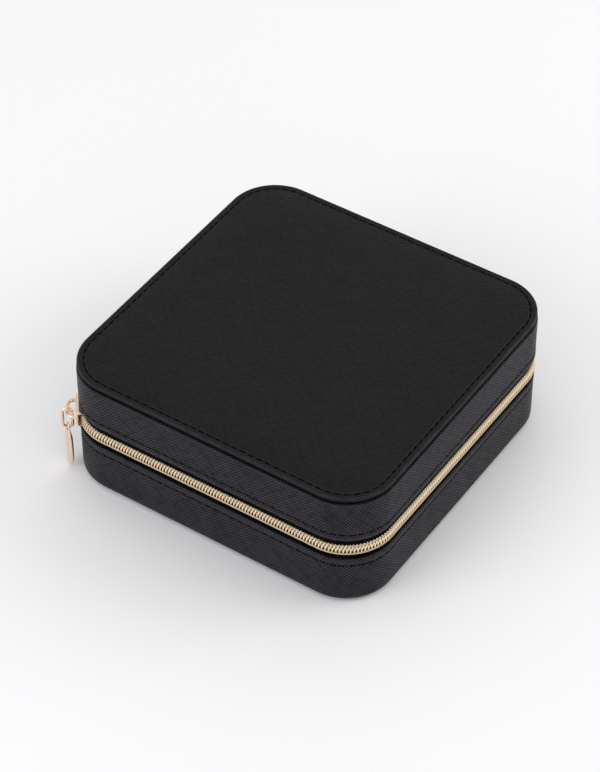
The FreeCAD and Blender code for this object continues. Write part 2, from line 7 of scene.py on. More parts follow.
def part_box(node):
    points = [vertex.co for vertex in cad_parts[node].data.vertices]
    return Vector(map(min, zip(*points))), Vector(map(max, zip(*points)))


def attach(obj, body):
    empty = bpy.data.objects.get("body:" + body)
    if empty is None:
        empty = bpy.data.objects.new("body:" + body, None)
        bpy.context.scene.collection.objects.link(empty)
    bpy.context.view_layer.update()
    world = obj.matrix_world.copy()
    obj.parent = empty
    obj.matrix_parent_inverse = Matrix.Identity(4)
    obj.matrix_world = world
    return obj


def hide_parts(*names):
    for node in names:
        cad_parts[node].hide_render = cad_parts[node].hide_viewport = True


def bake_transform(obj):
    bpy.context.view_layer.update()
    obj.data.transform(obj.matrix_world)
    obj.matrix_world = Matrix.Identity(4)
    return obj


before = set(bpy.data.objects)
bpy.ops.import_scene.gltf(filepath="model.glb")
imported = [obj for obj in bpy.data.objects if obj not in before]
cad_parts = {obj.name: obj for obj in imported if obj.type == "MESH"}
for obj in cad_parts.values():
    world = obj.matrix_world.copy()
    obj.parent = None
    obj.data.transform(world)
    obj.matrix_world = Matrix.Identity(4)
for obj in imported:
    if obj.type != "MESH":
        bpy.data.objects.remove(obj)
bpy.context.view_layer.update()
scene = bpy.context.scene
MM = 0.001

# Sizes of the case in millimetres, as in the part's source
SIDE = 160.0
HALF = SIDE / 2
CORNER_R = 23.3
STRAIGHT_HALF = HALF - CORNER_R
UNDER_Z = 0.8
BASE_RIM_Z = 26.5
ZIP_Z = 33.0
LID_RIM_Z = 38.1
LID_BAND_TOP = 60.5
PANEL_Z = 60.6
PANEL_TOP = 63.2
PANEL_INSET = 0.5
PANEL_CROWN = 1.2
CROWN_EASE = 6.5
LEATHER_T = 1.2
PANEL_LEATHER_T = 0.9
TURN_IN = 9.0
TAPE_OUT = 1.3
TAPE_IN = 2.0
BOARD_FACE = 2.1
LINING_OUT = 4.4
LINING_IN = 5.2
FLOOR_LINING_Z = 4.4
FLOOR_LINING_TOP = 5.4
CEILING_Z = 55.9
CEILING_TOP = 56.9
COVER_INSET = 4.0
COVER_T = 0.7
TAPE_SEWN = 8.0
TAPE_GAP_HALF = 1.4
PITCH = 1.5
SLIDER_ANGLE = 126.0
COIL_END_ANGLE = 62.0

# Stitch rows in millimetres
BASE_STITCH_Z = 22.6
LID_STITCH_Z = 41.6
PANEL_STITCH_INSET = 3.4
STITCH_PITCH = 4.25
GROOVE_W = 1.3
GROOVE_D = 0.5

# How finely the outline is cut
CORNER_STEPS = 28
SIDE_STEPS = 24

# Rounding, merging and shading of meshes; angles in degrees
CORNER_SHARE = 0.48
PARALLEL_INSET = 21.0
SWELL_SCALE = 0.03
TINY = 0.01
TOUCH = 1e-6
FLAT_ANGLE = 2.0
SHARP_ANGLE = 28.0
EASED_PROFILE = 0.6
SMOOTH_ANGLE = 40.0
EASED_SMOOTH_ANGLE = 50.0
ROUND_SMOOTH_ANGLE = 60.0
LINE_SMOOTH_ANGLE = 80.0


def placed(name, data):
    piece = bpy.data.objects.new(name, data)
    scene.collection.objects.link(piece)
    return piece


def outward(degrees):
    a = math.radians(degrees)
    return Vector((math.cos(a), math.sin(a)))


# Outline of the case: points with outward direction and length along it, from the middle of the back
def outline_points():
    points = []
    length = 0.0
    corners = [(-1, 1, 90.0), (-1, -1, 180.0), (1, -1, 270.0), (1, 1, 0.0)]
    step = 2 * STRAIGHT_HALF / SIDE_STEPS

    def straight(start, along, normal, count):
        nonlocal length
        for i in range(count):
            points.append((start + along * (i * step), normal, length))
            length += step

    back = Vector((0.0, 1.0))
    straight(Vector((0.0, HALF)), Vector((-1.0, 0.0)), back, SIDE_STEPS // 2)
    for k, (sx, sy, angle) in enumerate(corners):
        centre = Vector((sx * STRAIGHT_HALF, sy * STRAIGHT_HALF))
        arc = CORNER_R * math.pi / 2 / CORNER_STEPS
        for i in range(CORNER_STEPS):
            normal = outward(angle + 90.0 * i / CORNER_STEPS)
            points.append((centre + normal * CORNER_R, normal, length))
            length += arc
        normal = outward(angle + 90.0)
        along = Vector((-normal.y, normal.x))
        count = SIDE_STEPS if k < 3 else SIDE_STEPS // 2
        straight(centre + normal * CORNER_R, along, normal, count)
    return points, length


OUTLINE, OUTLINE_LENGTH = outline_points()
BACK_HALF = STRAIGHT_HALF


def softened(corners, closed=True, steps=5):
    """Round the corners of a section; the third value of each point says how proud or sunk it is.

    A corner is (inset, z, radius), with a fourth value where it has a mark of its own.
    """
    points = []
    count = len(corners)
    flats = [Vector(corner[:2]) for corner in corners]
    way = sum(a.cross(b) for a, b in zip(flats, flats[1:] + flats[:1]))
    for i, corner in enumerate(corners):
        inset, z, radius = corner[:3]
        here = Vector((inset, z))
        at_end = not closed and i in (0, count - 1)
        if radius <= 0 or at_end:
            points.append((inset, z, 0.0))
            continue
        before = flats[i - 1]
        after = flats[(i + 1) % count]
        # Proud corners get a positive mark and sunk ones a negative mark; the leather paints wear and
        # highlight on proud places and shade in sunk ones
        proud = math.copysign(1.0, way * (here - before).cross(after - here))
        if len(corner) > 3:
            proud = corner[3]
        reach_in = min(radius, (before - here).length * CORNER_SHARE)
        reach_out = min(radius, (after - here).length * CORNER_SHARE)
        first = here + (before - here).normalized() * reach_in
        last = here + (after - here).normalized() * reach_out
        for k in range(steps + 1):
            t = k / steps
            p = first * (1 - t) ** 2 + here * (2 * t * (1 - t)) + last * t ** 2
            points.append((p.x, p.y, proud * math.sin(math.pi * t)))
    return points


def section_lengths(section):
    lengths = [0.0]
    for a, b in zip(section, section[1:]):
        lengths.append(lengths[-1] + math.hypot(b[0] - a[0], b[1] - a[1]))
    return lengths


def finish_mesh(name, bm, smooth_angle=SMOOTH_ANGLE):
    """Turn a bmesh into a named object with outward faces and soft shading."""
    bmesh.ops.recalc_face_normals(bm, faces=bm.faces)
    mesh = bpy.data.meshes.new(name)
    bm.to_mesh(mesh)
    bm.free()
    mesh.shade_smooth()
    mesh.set_sharp_from_angle(angle=math.radians(smooth_angle))
    return placed(name, mesh)


def circle_angles(count):
    return [2 * math.pi * k / count for k in range(count)]


def skin_rings(bm, rings, closed=False):
    """Join each ring of points to the next, and the last to the first where the rings are closed."""
    following = rings[1:] + rings[:1] if closed else rings[1:]
    for a, b in zip(rings, following):
        count = len(a)
        for k in range(count):
            n = (k + 1) % count
            bm.faces.new((a[k], a[n], b[n], b[k]))


def cap_rings(bm, rings):
    bm.faces.new(rings[0])
    bm.faces.new(list(reversed(rings[-1])))


def grain_mesh():
    """A new mesh with a grain map and a mark of how proud or sunk each point is."""
    bm = bmesh.new()
    return bm, bm.loops.layers.uv.new("grain"), bm.verts.layers.float.new("proud_or_sunk")


def swept_band(name, section, stations=None, smooth_angle=SMOOTH_ANGLE):
    """Carry a closed section round the outline, or along some stations, with a grain map in metres."""
    closed = stations is None
    stations = OUTLINE if closed else stations
    bm, grain, relief_layer = grain_mesh()
    rows = []
    for point, normal, length in stations:
        row = []
        for inset, z, proud_or_sunk in section:
            flat = point - normal * inset
            vert = bm.verts.new((flat.x * MM, flat.y * MM, z * MM))
            vert[relief_layer] = proud_or_sunk
            row.append(vert)
        rows.append(row)
    lengths = section_lengths(section + section[:1])
    count = len(rows)
    size = len(section)
    for i in range(count if closed else count - 1):
        a = rows[i]
        b = rows[(i + 1) % count]
        u0 = stations[i][2]
        u1 = OUTLINE_LENGTH if i + 1 == count else stations[i + 1][2]
        for j in range(size):
            k = (j + 1) % size
            face = bm.faces.new((a[j], b[j], b[k], a[k]))
            marks = ((u0, lengths[j]), (u1, lengths[j]), (u1, lengths[j + 1]), (u0, lengths[j + 1]))
            for loop, (u, v) in zip(face.loops, marks):
                loop[grain].uv = (u * MM, v * MM)
    if not closed:
        cap_rings(bm, rows)
    return finish_mesh(name, bm, smooth_angle)


def pad_surface(name, profile, swell=0.0, seed=0.0):
    """A closed skin over the whole outline; its profile runs from the middle below to the middle above."""
    bm, grain, relief_layer = grain_mesh()
    lengths = section_lengths(profile)
    total = lengths[-1]
    rows = []
    marks = []
    for (inset, z, proud_or_sunk), length in zip(profile, lengths):
        centre = inset > HALF - TINY
        row = []
        marks_row = []
        for point, normal, _ in OUTLINE:
            if inset <= PARALLEL_INSET:
                flat = point - normal * inset
            else:
                shrink = (HALF - inset) / (HALF - PARALLEL_INSET)
                flat = (point - normal * PARALLEL_INSET) * shrink
            lift = 0.0
            if swell and z > PANEL_TOP:
                spot = Vector((flat.x * SWELL_SCALE + seed, flat.y * SWELL_SCALE, seed))
                lift = swell * noise.noise(spot)
            extra = (total - length) - (HALF - inset)
            unrolled = flat + normal * max(extra, 0.0)
            marks_row.append((unrolled.x * MM, unrolled.y * MM))
            if centre and row:
                row.append(row[0])
                continue
            vert = bm.verts.new((flat.x * MM, flat.y * MM, (z + lift) * MM))
            vert[relief_layer] = proud_or_sunk
            row.append(vert)
        rows.append(row)
        marks.append(marks_row)
    count = len(OUTLINE)
    for j in range(len(rows) - 1):
        for i in range(count):
            k = (i + 1) % count
            corners = [(rows[j][i], marks[j][i]), (rows[j][k], marks[j][k])]
            corners += [(rows[j + 1][k], marks[j + 1][k]), (rows[j + 1][i], marks[j + 1][i])]
            kept = []
            for vert, mark in corners:
                if all(vert is not other for other, _ in kept):
                    kept.append((vert, mark))
            if len(kept) < 3:
                continue
            face = bm.faces.new([vert for vert, _ in kept])
            for loop, (_, mark) in zip(face.loops, kept):
                loop[grain].uv = mark
    return finish_mesh(name, bm)


def dressed_copy(name, node, bevel, segments=2):
    """A merged copy of a node's solid with its sharp edges eased."""
    bm = bmesh.new()
    bm.from_mesh(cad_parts[node].data)
    bmesh.ops.remove_doubles(bm, verts=bm.verts, dist=TOUCH)
    bmesh.ops.dissolve_limit(bm, angle_limit=math.radians(FLAT_ANGLE), verts=bm.verts, edges=bm.edges)
    least = math.radians(SHARP_ANGLE)
    sharp = [e for e in bm.edges if len(e.link_faces) == 2 and e.calc_face_angle(0) > least]
    bmesh.ops.bevel(
        bm, geom=sharp, offset=bevel * MM, segments=segments, profile=EASED_PROFILE,
        affect="EDGES", clamp_overlap=True,
    )
    return finish_mesh(name, bm, EASED_SMOOTH_ANGLE)


# Node helpers for materials
WAVES_PER_METRE = 0.31416
NOISE_MIDDLE = (0.3, 0.7)


def add(tree, kind, sockets=None, **settings):
    made = tree.nodes.new(kind)
    for key, value in settings.items():
        setattr(made, key, value)
    for key, value in (sockets or {}).items():
        made.inputs[key].default_value = value
    return made


def join(tree, output, target):
    tree.links.new(output, target)


def new_finish(name):
    material = bpy.data.materials.new(name)
    material.use_nodes = True
    tree = material.node_tree
    tree.nodes.clear()
    shader = add(tree, "ShaderNodeBsdfPrincipled")
    result = add(tree, "ShaderNodeOutputMaterial")
    join(tree, shader.outputs["BSDF"], result.inputs["Surface"])
    return material, tree, shader


def mixed(tree, factor, low, high):
    """Blend two colours by a factor; the first may be the output of another node."""
    mix = add(tree, "ShaderNodeMix", data_type="RGBA")
    if isinstance(low, tuple):
        mix.inputs[6].default_value = (*low, 1.0)
    else:
        join(tree, low, mix.inputs[6])
    mix.inputs[7].default_value = (*high, 1.0)
    join(tree, factor, mix.inputs[0])
    return mix.outputs[2]


def spread(tree, value, low, high, out_low, out_high):
    """Map a value from one range to another, held at the ends."""
    ranged = add(tree, "ShaderNodeMapRange", {1: low, 2: high, 3: out_low, 4: out_high})
    join(tree, value, ranged.inputs[0])
    return ranged.outputs[0]


def math_node(tree, operation, a, b):
    made = add(tree, "ShaderNodeMath", operation=operation)
    for index, value in enumerate((a, b)):
        if isinstance(value, (int, float)):
            made.inputs[index].default_value = value
        else:
            join(tree, value, made.inputs[index])
    return made.outputs[0]


def plus(tree, value, extra, share):
    """A value with a share of another added."""
    return math_node(tree, "ADD", value, math_node(tree, "MULTIPLY", extra, share))


def weighed(tree, a, share_a, b, share_b):
    return plus(tree, math_node(tree, "MULTIPLY", a, share_a), b, share_b)


def object_place(tree):
    return add(tree, "ShaderNodeTexCoord").outputs["Object"]


def grain_place(tree):
    return add(tree, "ShaderNodeUVMap", uv_map="grain").outputs["UV"]


def paint(tree, shader, tone, dark, light):
    """Colour a finish from dark to light over the middle range of a noise."""
    factor = spread(tree, tone, *NOISE_MIDDLE, 0.0, 1.0)
    join(tree, mixed(tree, factor, dark, light), shader.inputs["Base Color"])


def settle(shader, values):
    for key, value in values.items():
        shader.inputs[key].default_value = value


def noise_at(tree, vector, scale, detail=3.0, roughness=0.55):
    made = add(tree, "ShaderNodeTexNoise", {"Scale": scale, "Detail": detail, "Roughness": roughness})
    join(tree, vector, made.inputs["Vector"])
    return made.outputs["Fac"]


def mapped(tree, vector, scale=(1, 1, 1), turn=0.0):
    made = add(tree, "ShaderNodeMapping", {"Scale": scale, "Rotation": (0, 0, math.radians(turn))})
    join(tree, vector, made.inputs["Vector"])
    return made.outputs["Vector"]


def ribs(tree, vector, pitch, direction, distortion, detail_scale=1.0):
    """Parallel ridges with the given pitch in metres."""
    made = add(
        tree, "ShaderNodeTexWave",
        {
            "Scale": WAVES_PER_METRE / pitch, "Distortion": distortion,
            "Detail": 2.0, "Detail Scale": detail_scale,
        },
        wave_type="BANDS", bands_direction=direction,
    )
    join(tree, vector, made.inputs["Vector"])
    return made.outputs["Fac"]


def bump(tree, shader, height, strength, distance):
    made = add(tree, "ShaderNodeBump", {"Strength": strength, "Distance": distance})
    join(tree, height, made.inputs["Height"])
    join(tree, made.outputs["Normal"], shader.inputs["Normal"])


# Black leather embossed with fine crossed lines at forty-five degrees to the sides
GRAIN_PITCH = 1.2 * MM
GRAIN_TURN = 45.0
GRAIN_WANDER = 0.7
GRAIN_WANDER_SCALE = 0.8
BREAK_STRETCH = 0.16
BREAKS_PER_PITCH = 0.62
BREAK_RANGE = (0.35, 0.60)
BREAK_SHARE = (0.45, 1.0)
PORE_SCALE = 2600.0
PORE_SHARE = 0.12
RUB_SCALE = 160.0
RUB_RANGE = (0.35, 0.7)
RUB_SHARE = (0.3, 1.0)
WEAR_AND_HIGHLIGHT_MOST = 0.7
RECESS_SHADE_MOST = 0.9
CLOUD_SCALE = 28.0
CLOUD_SHARE = 0.2
TONE_RANGE = (0.3, 0.8)
LEATHER_ROUGH = (0.48, 0.36)
WORN_SMOOTHER = -0.08
SUNK_ROUGHER = 0.3
# Lighter colour on proud edges: partly rubbed wear, partly painted highlight
EDGE_WEAR_AND_HIGHLIGHT = (0.046, 0.043, 0.050)
# Dark colour in sunk seams, grooves, the notch and the undercut: painted shade
RECESS_SHADE = (0.0015, 0.0015, 0.0015)


def crossed_grain_leather(name, depth, dark, light, uv=True):
    material, tree, shader = new_finish(name)
    place = grain_place(tree) if uv else object_place(tree)
    turned = mapped(tree, place, turn=GRAIN_TURN)
    heights = []
    for direction, stretch in (("X", (1.0, BREAK_STRETCH, 1.0)), ("Y", (BREAK_STRETCH, 1.0, 1.0))):
        lines = ribs(tree, turned, GRAIN_PITCH, direction, GRAIN_WANDER, GRAIN_WANDER_SCALE)
        broken = noise_at(tree, mapped(tree, turned, stretch), BREAKS_PER_PITCH / GRAIN_PITCH, 2.0, 0.6)
        share = spread(tree, broken, *BREAK_RANGE, *BREAK_SHARE)
        heights.append(math_node(tree, "MULTIPLY", lines, share))
    crossed = math_node(tree, "MULTIPLY", math_node(tree, "ADD", heights[0], heights[1]), 0.5)
    pores = noise_at(tree, place, PORE_SCALE, 2.0, 0.5)
    bump(tree, shader, plus(tree, crossed, pores, PORE_SHARE), 1.0, depth)
    proud_or_sunk = add(tree, "ShaderNodeAttribute", attribute_name="proud_or_sunk").outputs["Fac"]
    rubbed = spread(tree, noise_at(tree, place, RUB_SCALE), *RUB_RANGE, *RUB_SHARE)
    # Proud places get a lighter colour, partly rubbed wear and partly painted highlight
    wear_and_highlight = math_node(tree, "MULTIPLY", spread(tree, proud_or_sunk, 0.0, 1.0, 0.0, WEAR_AND_HIGHLIGHT_MOST), rubbed)
    # Sunk places get painted shade
    recess_shade = spread(tree, proud_or_sunk, -1.0, 0.0, RECESS_SHADE_MOST, 0.0)
    cloud = noise_at(tree, place, CLOUD_SCALE, 3.0, 0.5)
    # Colour runs dark in the grooves of the crossed lines as painted shade, with random tone from the cloud
    tone = spread(tree, plus(tree, crossed, cloud, CLOUD_SHARE), *TONE_RANGE, 0.0, 1.0)
    edge = mixed(tree, wear_and_highlight, mixed(tree, tone, dark, light), EDGE_WEAR_AND_HIGHLIGHT)
    join(tree, mixed(tree, recess_shade, edge, RECESS_SHADE), shader.inputs["Base Color"])
    rough = plus(tree, spread(tree, crossed, 0.0, 1.0, *LEATHER_ROUGH), wear_and_highlight, WORN_SMOOTHER)
    join(tree, plus(tree, rough, recess_shade, SUNK_ROUGHER), shader.inputs["Roughness"])
    settle(shader, {"Specular IOR Level": 0.1})
    return material


# Short-pile suede of the lining and the rolls
STROKE_STRETCH = (1.0, 0.45, 1.0)
STROKE_TURN = 20.0
STROKE_SCALE = 55.0
STROKE_SHARE = 0.65
PILE_SCALE = 2400.0
PILE_SHARE = 0.35
PILE_BUMP = 0.45
PILE_DEPTH = 0.2 * MM


def suede(name, dark, light, scale=1.0):
    material, tree, shader = new_finish(name)
    place = object_place(tree)
    combed = mapped(tree, place, STROKE_STRETCH, STROKE_TURN)
    stroked = noise_at(tree, combed, STROKE_SCALE * scale, 4.0, 0.6)
    pile = noise_at(tree, place, PILE_SCALE * scale, 3.0, 0.7)
    paint(tree, shader, weighed(tree, stroked, STROKE_SHARE, pile, PILE_SHARE), dark, light)
    bump(tree, shader, pile, PILE_BUMP, PILE_DEPTH)
    settle(shader, {"Roughness": 0.92, "Sheen Weight": 0.35, "Sheen Roughness": 0.45})
    return material


# Black woven zip tape
WEAVE_TURN = 32.0
WEAVE_PITCH = 0.55 * MM
WEAVE_WANDER = 0.3
WEAVE_BUMP = 0.6
WEAVE_DEPTH = 0.12 * MM
FUZZ_SCALE = 1500.0
TAPE_DARK = (0.0012, 0.0011, 0.0012)
TAPE_LIGHT = (0.0065, 0.0060, 0.0070)


def woven_tape(name):
    material, tree, shader = new_finish(name)
    place = grain_place(tree)
    yarns = []
    for turn in (WEAVE_TURN, -WEAVE_TURN):
        yarns.append(ribs(tree, mapped(tree, place, turn=turn), WEAVE_PITCH, "X", WEAVE_WANDER))
    weave = math_node(tree, "MAXIMUM", yarns[0], yarns[1])
    tone = math_node(tree, "MULTIPLY", weave, noise_at(tree, place, FUZZ_SCALE, 3.0, 0.6))
    join(tree, mixed(tree, tone, TAPE_DARK, TAPE_LIGHT), shader.inputs["Base Color"])
    bump(tree, shader, weave, WEAVE_BUMP, WEAVE_DEPTH)
    settle(shader, {"Roughness": 0.85, "Specular IOR Level": 0.03})
    return material


# Polished plated metal with faint rubbing marks
PLATE_CLOUD_SHARE = 0.6
MARK_STRETCH = (1.0, 1.0, 0.12)
MARK_SCALE = 5200.0
MARK_SHARE = 0.4
MARK_BUMP = 0.05
MARK_DEPTH = 0.03 * MM


def plated(name, low, high, rough_low, rough_high, grain_scale):
    material, tree, shader = new_finish(name)
    place = object_place(tree)
    cloud = noise_at(tree, place, grain_scale, 3.0, 0.5)
    rubbed = noise_at(tree, mapped(tree, place, MARK_STRETCH), MARK_SCALE, 2.0, 0.5)
    paint(tree, shader, cloud, low, high)
    rough = weighed(tree, cloud, PLATE_CLOUD_SHARE, rubbed, MARK_SHARE)
    join(tree, spread(tree, rough, *NOISE_MIDDLE, rough_low, rough_high), shader.inputs["Roughness"])
    bump(tree, shader, rubbed, MARK_BUMP, MARK_DEPTH)
    settle(shader, {"Metallic": 1.0})
    return material


# Polyester thread
TWIST_TURN = 40.0
TWIST_PITCH = 0.35 * MM
TWIST_WANDER = 0.5
TWIST_BUMP = 0.5
TWIST_DEPTH = 0.08 * MM


def thread_finish(name, dark, light, shine):
    material, tree, shader = new_finish(name)
    turned = mapped(tree, object_place(tree), turn=TWIST_TURN)
    twist = ribs(tree, turned, TWIST_PITCH, "DIAGONAL", TWIST_WANDER)
    join(tree, mixed(tree, twist, dark, light), shader.inputs["Base Color"])
    bump(tree, shader, twist, TWIST_BUMP, TWIST_DEPTH)
    settle(shader, {"Roughness": 0.6, "Specular IOR Level": shine})
    return material


# Raw board, foam and bottom cloth
BROAD_RATIO = 0.06
BROAD_SHARE = 0.4
FINE_SHARE = 0.6
SPECKLE_BUMP = 0.5


def speckled(name, dark, light, rough, scale, depth):
    material, tree, shader = new_finish(name)
    place = object_place(tree)
    fine = noise_at(tree, place, scale, 4.0, 0.7)
    broad = noise_at(tree, place, scale * BROAD_RATIO, 2.0, 0.5)
    paint(tree, shader, weighed(tree, fine, FINE_SHARE, broad, BROAD_SHARE), dark, light)
    bump(tree, shader, fine, SPECKLE_BUMP, depth)
    settle(shader, {"Roughness": rough})
    return material


# Mirror
HAZE_SCALE = 35.0
HAZE_RANGE = (0.45, 0.75)
MIRROR_ROUGH = (0.015, 0.05)
MIRROR_DARK = (0.86, 0.88, 0.89)
MIRROR_LIGHT = (0.92, 0.94, 0.95)


def silvered(name):
    material, tree, shader = new_finish(name)
    haze = noise_at(tree, object_place(tree), HAZE_SCALE, 3.0, 0.6)
    join(tree, spread(tree, haze, *HAZE_RANGE, *MIRROR_ROUGH), shader.inputs["Roughness"])
    join(tree, mixed(tree, haze, MIRROR_DARK, MIRROR_LIGHT), shader.inputs["Base Color"])
    settle(shader, {"Metallic": 1.0})
    return material


# The finishes of this case
BAND_EMBOSS = 0.35 * MM
PANEL_EMBOSS = 0.25 * MM
# The dark colours are painted shade in the grooves of the crossed lines
GRAIN_GROOVE_SHADE = (0.0013, 0.0011, 0.0015)
BAND_TONE = (0.0450, 0.0392, 0.0505)
PANEL_GRAIN_GROOVE_SHADE = (0.0056, 0.0051, 0.0056)
PANEL_TONE = (0.0150, 0.0136, 0.0150)
CLOTH_DARK = (0.012, 0.012, 0.012)
CLOTH_LIGHT = (0.035, 0.035, 0.036)
LEATHER = crossed_grain_leather("black_crossed_grain_leather", BAND_EMBOSS, GRAIN_GROOVE_SHADE, BAND_TONE)
PANEL_LEATHER = crossed_grain_leather(
    "stretched_panel_leather", PANEL_EMBOSS, PANEL_GRAIN_GROOVE_SHADE, PANEL_TONE,
)
FRAME_LEATHER = crossed_grain_leather(
    "mirror_frame_leather", PANEL_EMBOSS, PANEL_GRAIN_GROOVE_SHADE, PANEL_TONE, uv=False,
)
LINING = suede("beige_suede_lining", (0.36, 0.29, 0.225), (0.50, 0.42, 0.335))
ROLL_SUEDE = suede("beige_suede_rolls", (0.38, 0.305, 0.235), (0.53, 0.445, 0.355), 1.2)
TAPE = woven_tape("black_woven_tape")
GOLD = plated("light_gold_coil", (0.86, 0.70, 0.46), (0.94, 0.81, 0.60), 0.14, 0.26, 900.0)
ROSE = plated("polished_rose_gold", (0.86, 0.63, 0.46), (0.93, 0.73, 0.57), 0.18, 0.28, 350.0)
SATIN_ROSE = plated("satin_rose_gold", (0.84, 0.61, 0.45), (0.92, 0.71, 0.55), 0.38, 0.46, 350.0)
THREAD = thread_finish("black_thread", (0.0006, 0.0006, 0.0006), (0.0022, 0.0022, 0.0022), 0.02)
SEWING = thread_finish("pale_coil_sewing", (0.42, 0.32, 0.21), (0.72, 0.58, 0.41), 0.2)
BOARD = speckled("raw_grey_board", (0.34, 0.32, 0.285), (0.47, 0.45, 0.41), 0.9, 900.0, 0.1 * MM)
FOAM = speckled("foam_sheet", (0.74, 0.71, 0.63), (0.88, 0.86, 0.79), 0.95, 1400.0, 0.3 * MM)
COVER_CLOTH = speckled("brushed_bottom_cloth", CLOTH_DARK, CLOTH_LIGHT, 0.9, 2200.0, 0.2 * MM)
MIRROR = silvered("silvered_mirror")


def dress(piece, material, body=None, nodes=()):
    """Give a piece its finish and slot, the nodes that it stands for and the body that it rides on."""
    piece.data.materials.clear()
    piece.data.materials.append(material)
    if nodes:
        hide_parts(*nodes)
    if body:
        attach(piece, body)
    return piece


# Section of the leather bands in millimetres: radii of its corners, bulge of the folded edge, seam's marks;
# the seam's lips are marked for wear and painted highlight, its groove for painted shade
CUT_R = 0.2
INNER_R = 0.3
RIM_IN_R = 0.4
RIM_R = 0.7
FOOT_R = 3.0
FOLD_R = 1.2
FOLD_BULGE = 0.2
FOLD_SHIFT = 0.4
SEAM_LIP_R = 0.2
SEAM_LIP_MARK = 0.3
SEAM_R = 0.4
SEAM_SHADE_MARK = -0.6
# Mark for the deepest painted shade, in the notch and the undercut
DEEPEST_SHADE = -1.0

# Notch in the lid's band under the panel, as insets from the side and drops from the band's top
NOTCH_SIDE_DROP = 0.9
NOTCH_SIDE_R = 1.0
NOTCH_LIP_INSET = 0.9
NOTCH_LIP_DROP = 0.7
NOTCH_INSET = 1.7
NOTCH_DROP = 1.05
NOTCH_R = 0.8
NOTCH_END_INSET = 2.9


# Leather bands round base and lid, each with a sunk stitch line and a soft folded edge
def stitch_groove(z):
    low = (0.0, z - GROOVE_W / 2, SEAM_LIP_R, SEAM_LIP_MARK)
    high = (0.0, z + GROOVE_W / 2, SEAM_LIP_R, SEAM_LIP_MARK)
    return [low, (GROOVE_D, z, SEAM_R, SEAM_SHADE_MARK), high]


def base_band():
    inner = UNDER_Z + LEATHER_T
    fold = (BASE_STITCH_Z + BASE_RIM_Z) / 2 + FOLD_SHIFT
    corners = [(TURN_IN, inner, CUT_R), (TURN_IN, UNDER_Z, CUT_R), (0.0, UNDER_Z, FOOT_R)]
    corners += stitch_groove(BASE_STITCH_Z)
    corners += [(-FOLD_BULGE, fold, FOLD_R), (0.0, BASE_RIM_Z, RIM_R)]
    corners += [(LEATHER_T, BASE_RIM_Z, RIM_IN_R), (LEATHER_T, inner, INNER_R)]
    return swept_band("base_leather_band", softened(corners))


def lid_band():
    flange = LID_BAND_TOP - LEATHER_T
    fold = (LID_STITCH_Z + LID_RIM_Z) / 2 - FOLD_SHIFT
    corners = [(LEATHER_T, flange, INNER_R), (LEATHER_T, LID_RIM_Z, RIM_IN_R)]
    corners += [(0.0, LID_RIM_Z, RIM_R), (-FOLD_BULGE, fold, FOLD_R)]
    corners += stitch_groove(LID_STITCH_Z)
    corners += [(0.0, LID_BAND_TOP - NOTCH_SIDE_DROP, NOTCH_SIDE_R)]
    corners += [(NOTCH_LIP_INSET, LID_BAND_TOP - NOTCH_LIP_DROP, INNER_R)]
    # The notch's floor and inner end are marked for the deepest painted shade
    corners += [(NOTCH_INSET, LID_BAND_TOP - NOTCH_DROP, NOTCH_R, DEEPEST_SHADE)]
    corners += [(NOTCH_END_INSET, LID_BAND_TOP, INNER_R, DEEPEST_SHADE)]
    corners += [(TURN_IN, LID_BAND_TOP, CUT_R), (TURN_IN, flange, CUT_R)]
    return swept_band("lid_leather_band", softened(corners))


dress(base_band(), LEATHER, "base", ["base_side_leather"])
dress(lid_band(), LEATHER, "lid", ["lid_side_leather"])

# Section of the top panel in millimetres: its underside over the foam, undercut rim, sewn channel and crown
FOAM_FLAT_INSET = 40.0
FOAM_TOP_INSET = 16.7
FOAM_TOP_R = 4.0
FOAM_FOOT_INSET = 3.7
HEM_R = 0.1
UNDERCUT_INSET = 2.2
UNDERCUT_R = 0.5
UNDERCUT_MID_INSET = 0.6
UNDERCUT_MID_RISE = 0.55
UNDERCUT_MID_R = 0.6
ROLL_BULGE = 0.15
ROLL_FOOT_RISE = 1.1
ROLL_FOOT_R = 0.5
ROLL_R = 1.4
CHANNEL_HALF = 0.65
CHANNEL_D = 0.5
CHANNEL_R = 0.35
CHANNEL_SHADE_MARK = -0.25
CHANNEL_OUT_R = 0.4
CHANNEL_IN_R = 0.5
CHANNEL_STEP = 0.1
CHANNEL_LIP_MARK = 0.35
CROWN_EXTRA = 0.08
CROWN_START = 0.3
CROWN_INSETS = (5.4, 7.0, 9.0, 11.5, 14.5, 18.0, 22.0, 27.0, 33.0, 40.0, 50.0, 60.0, 70.0, HALF)
PANEL_SWELL = 0.12
PANEL_SEED = 4.3


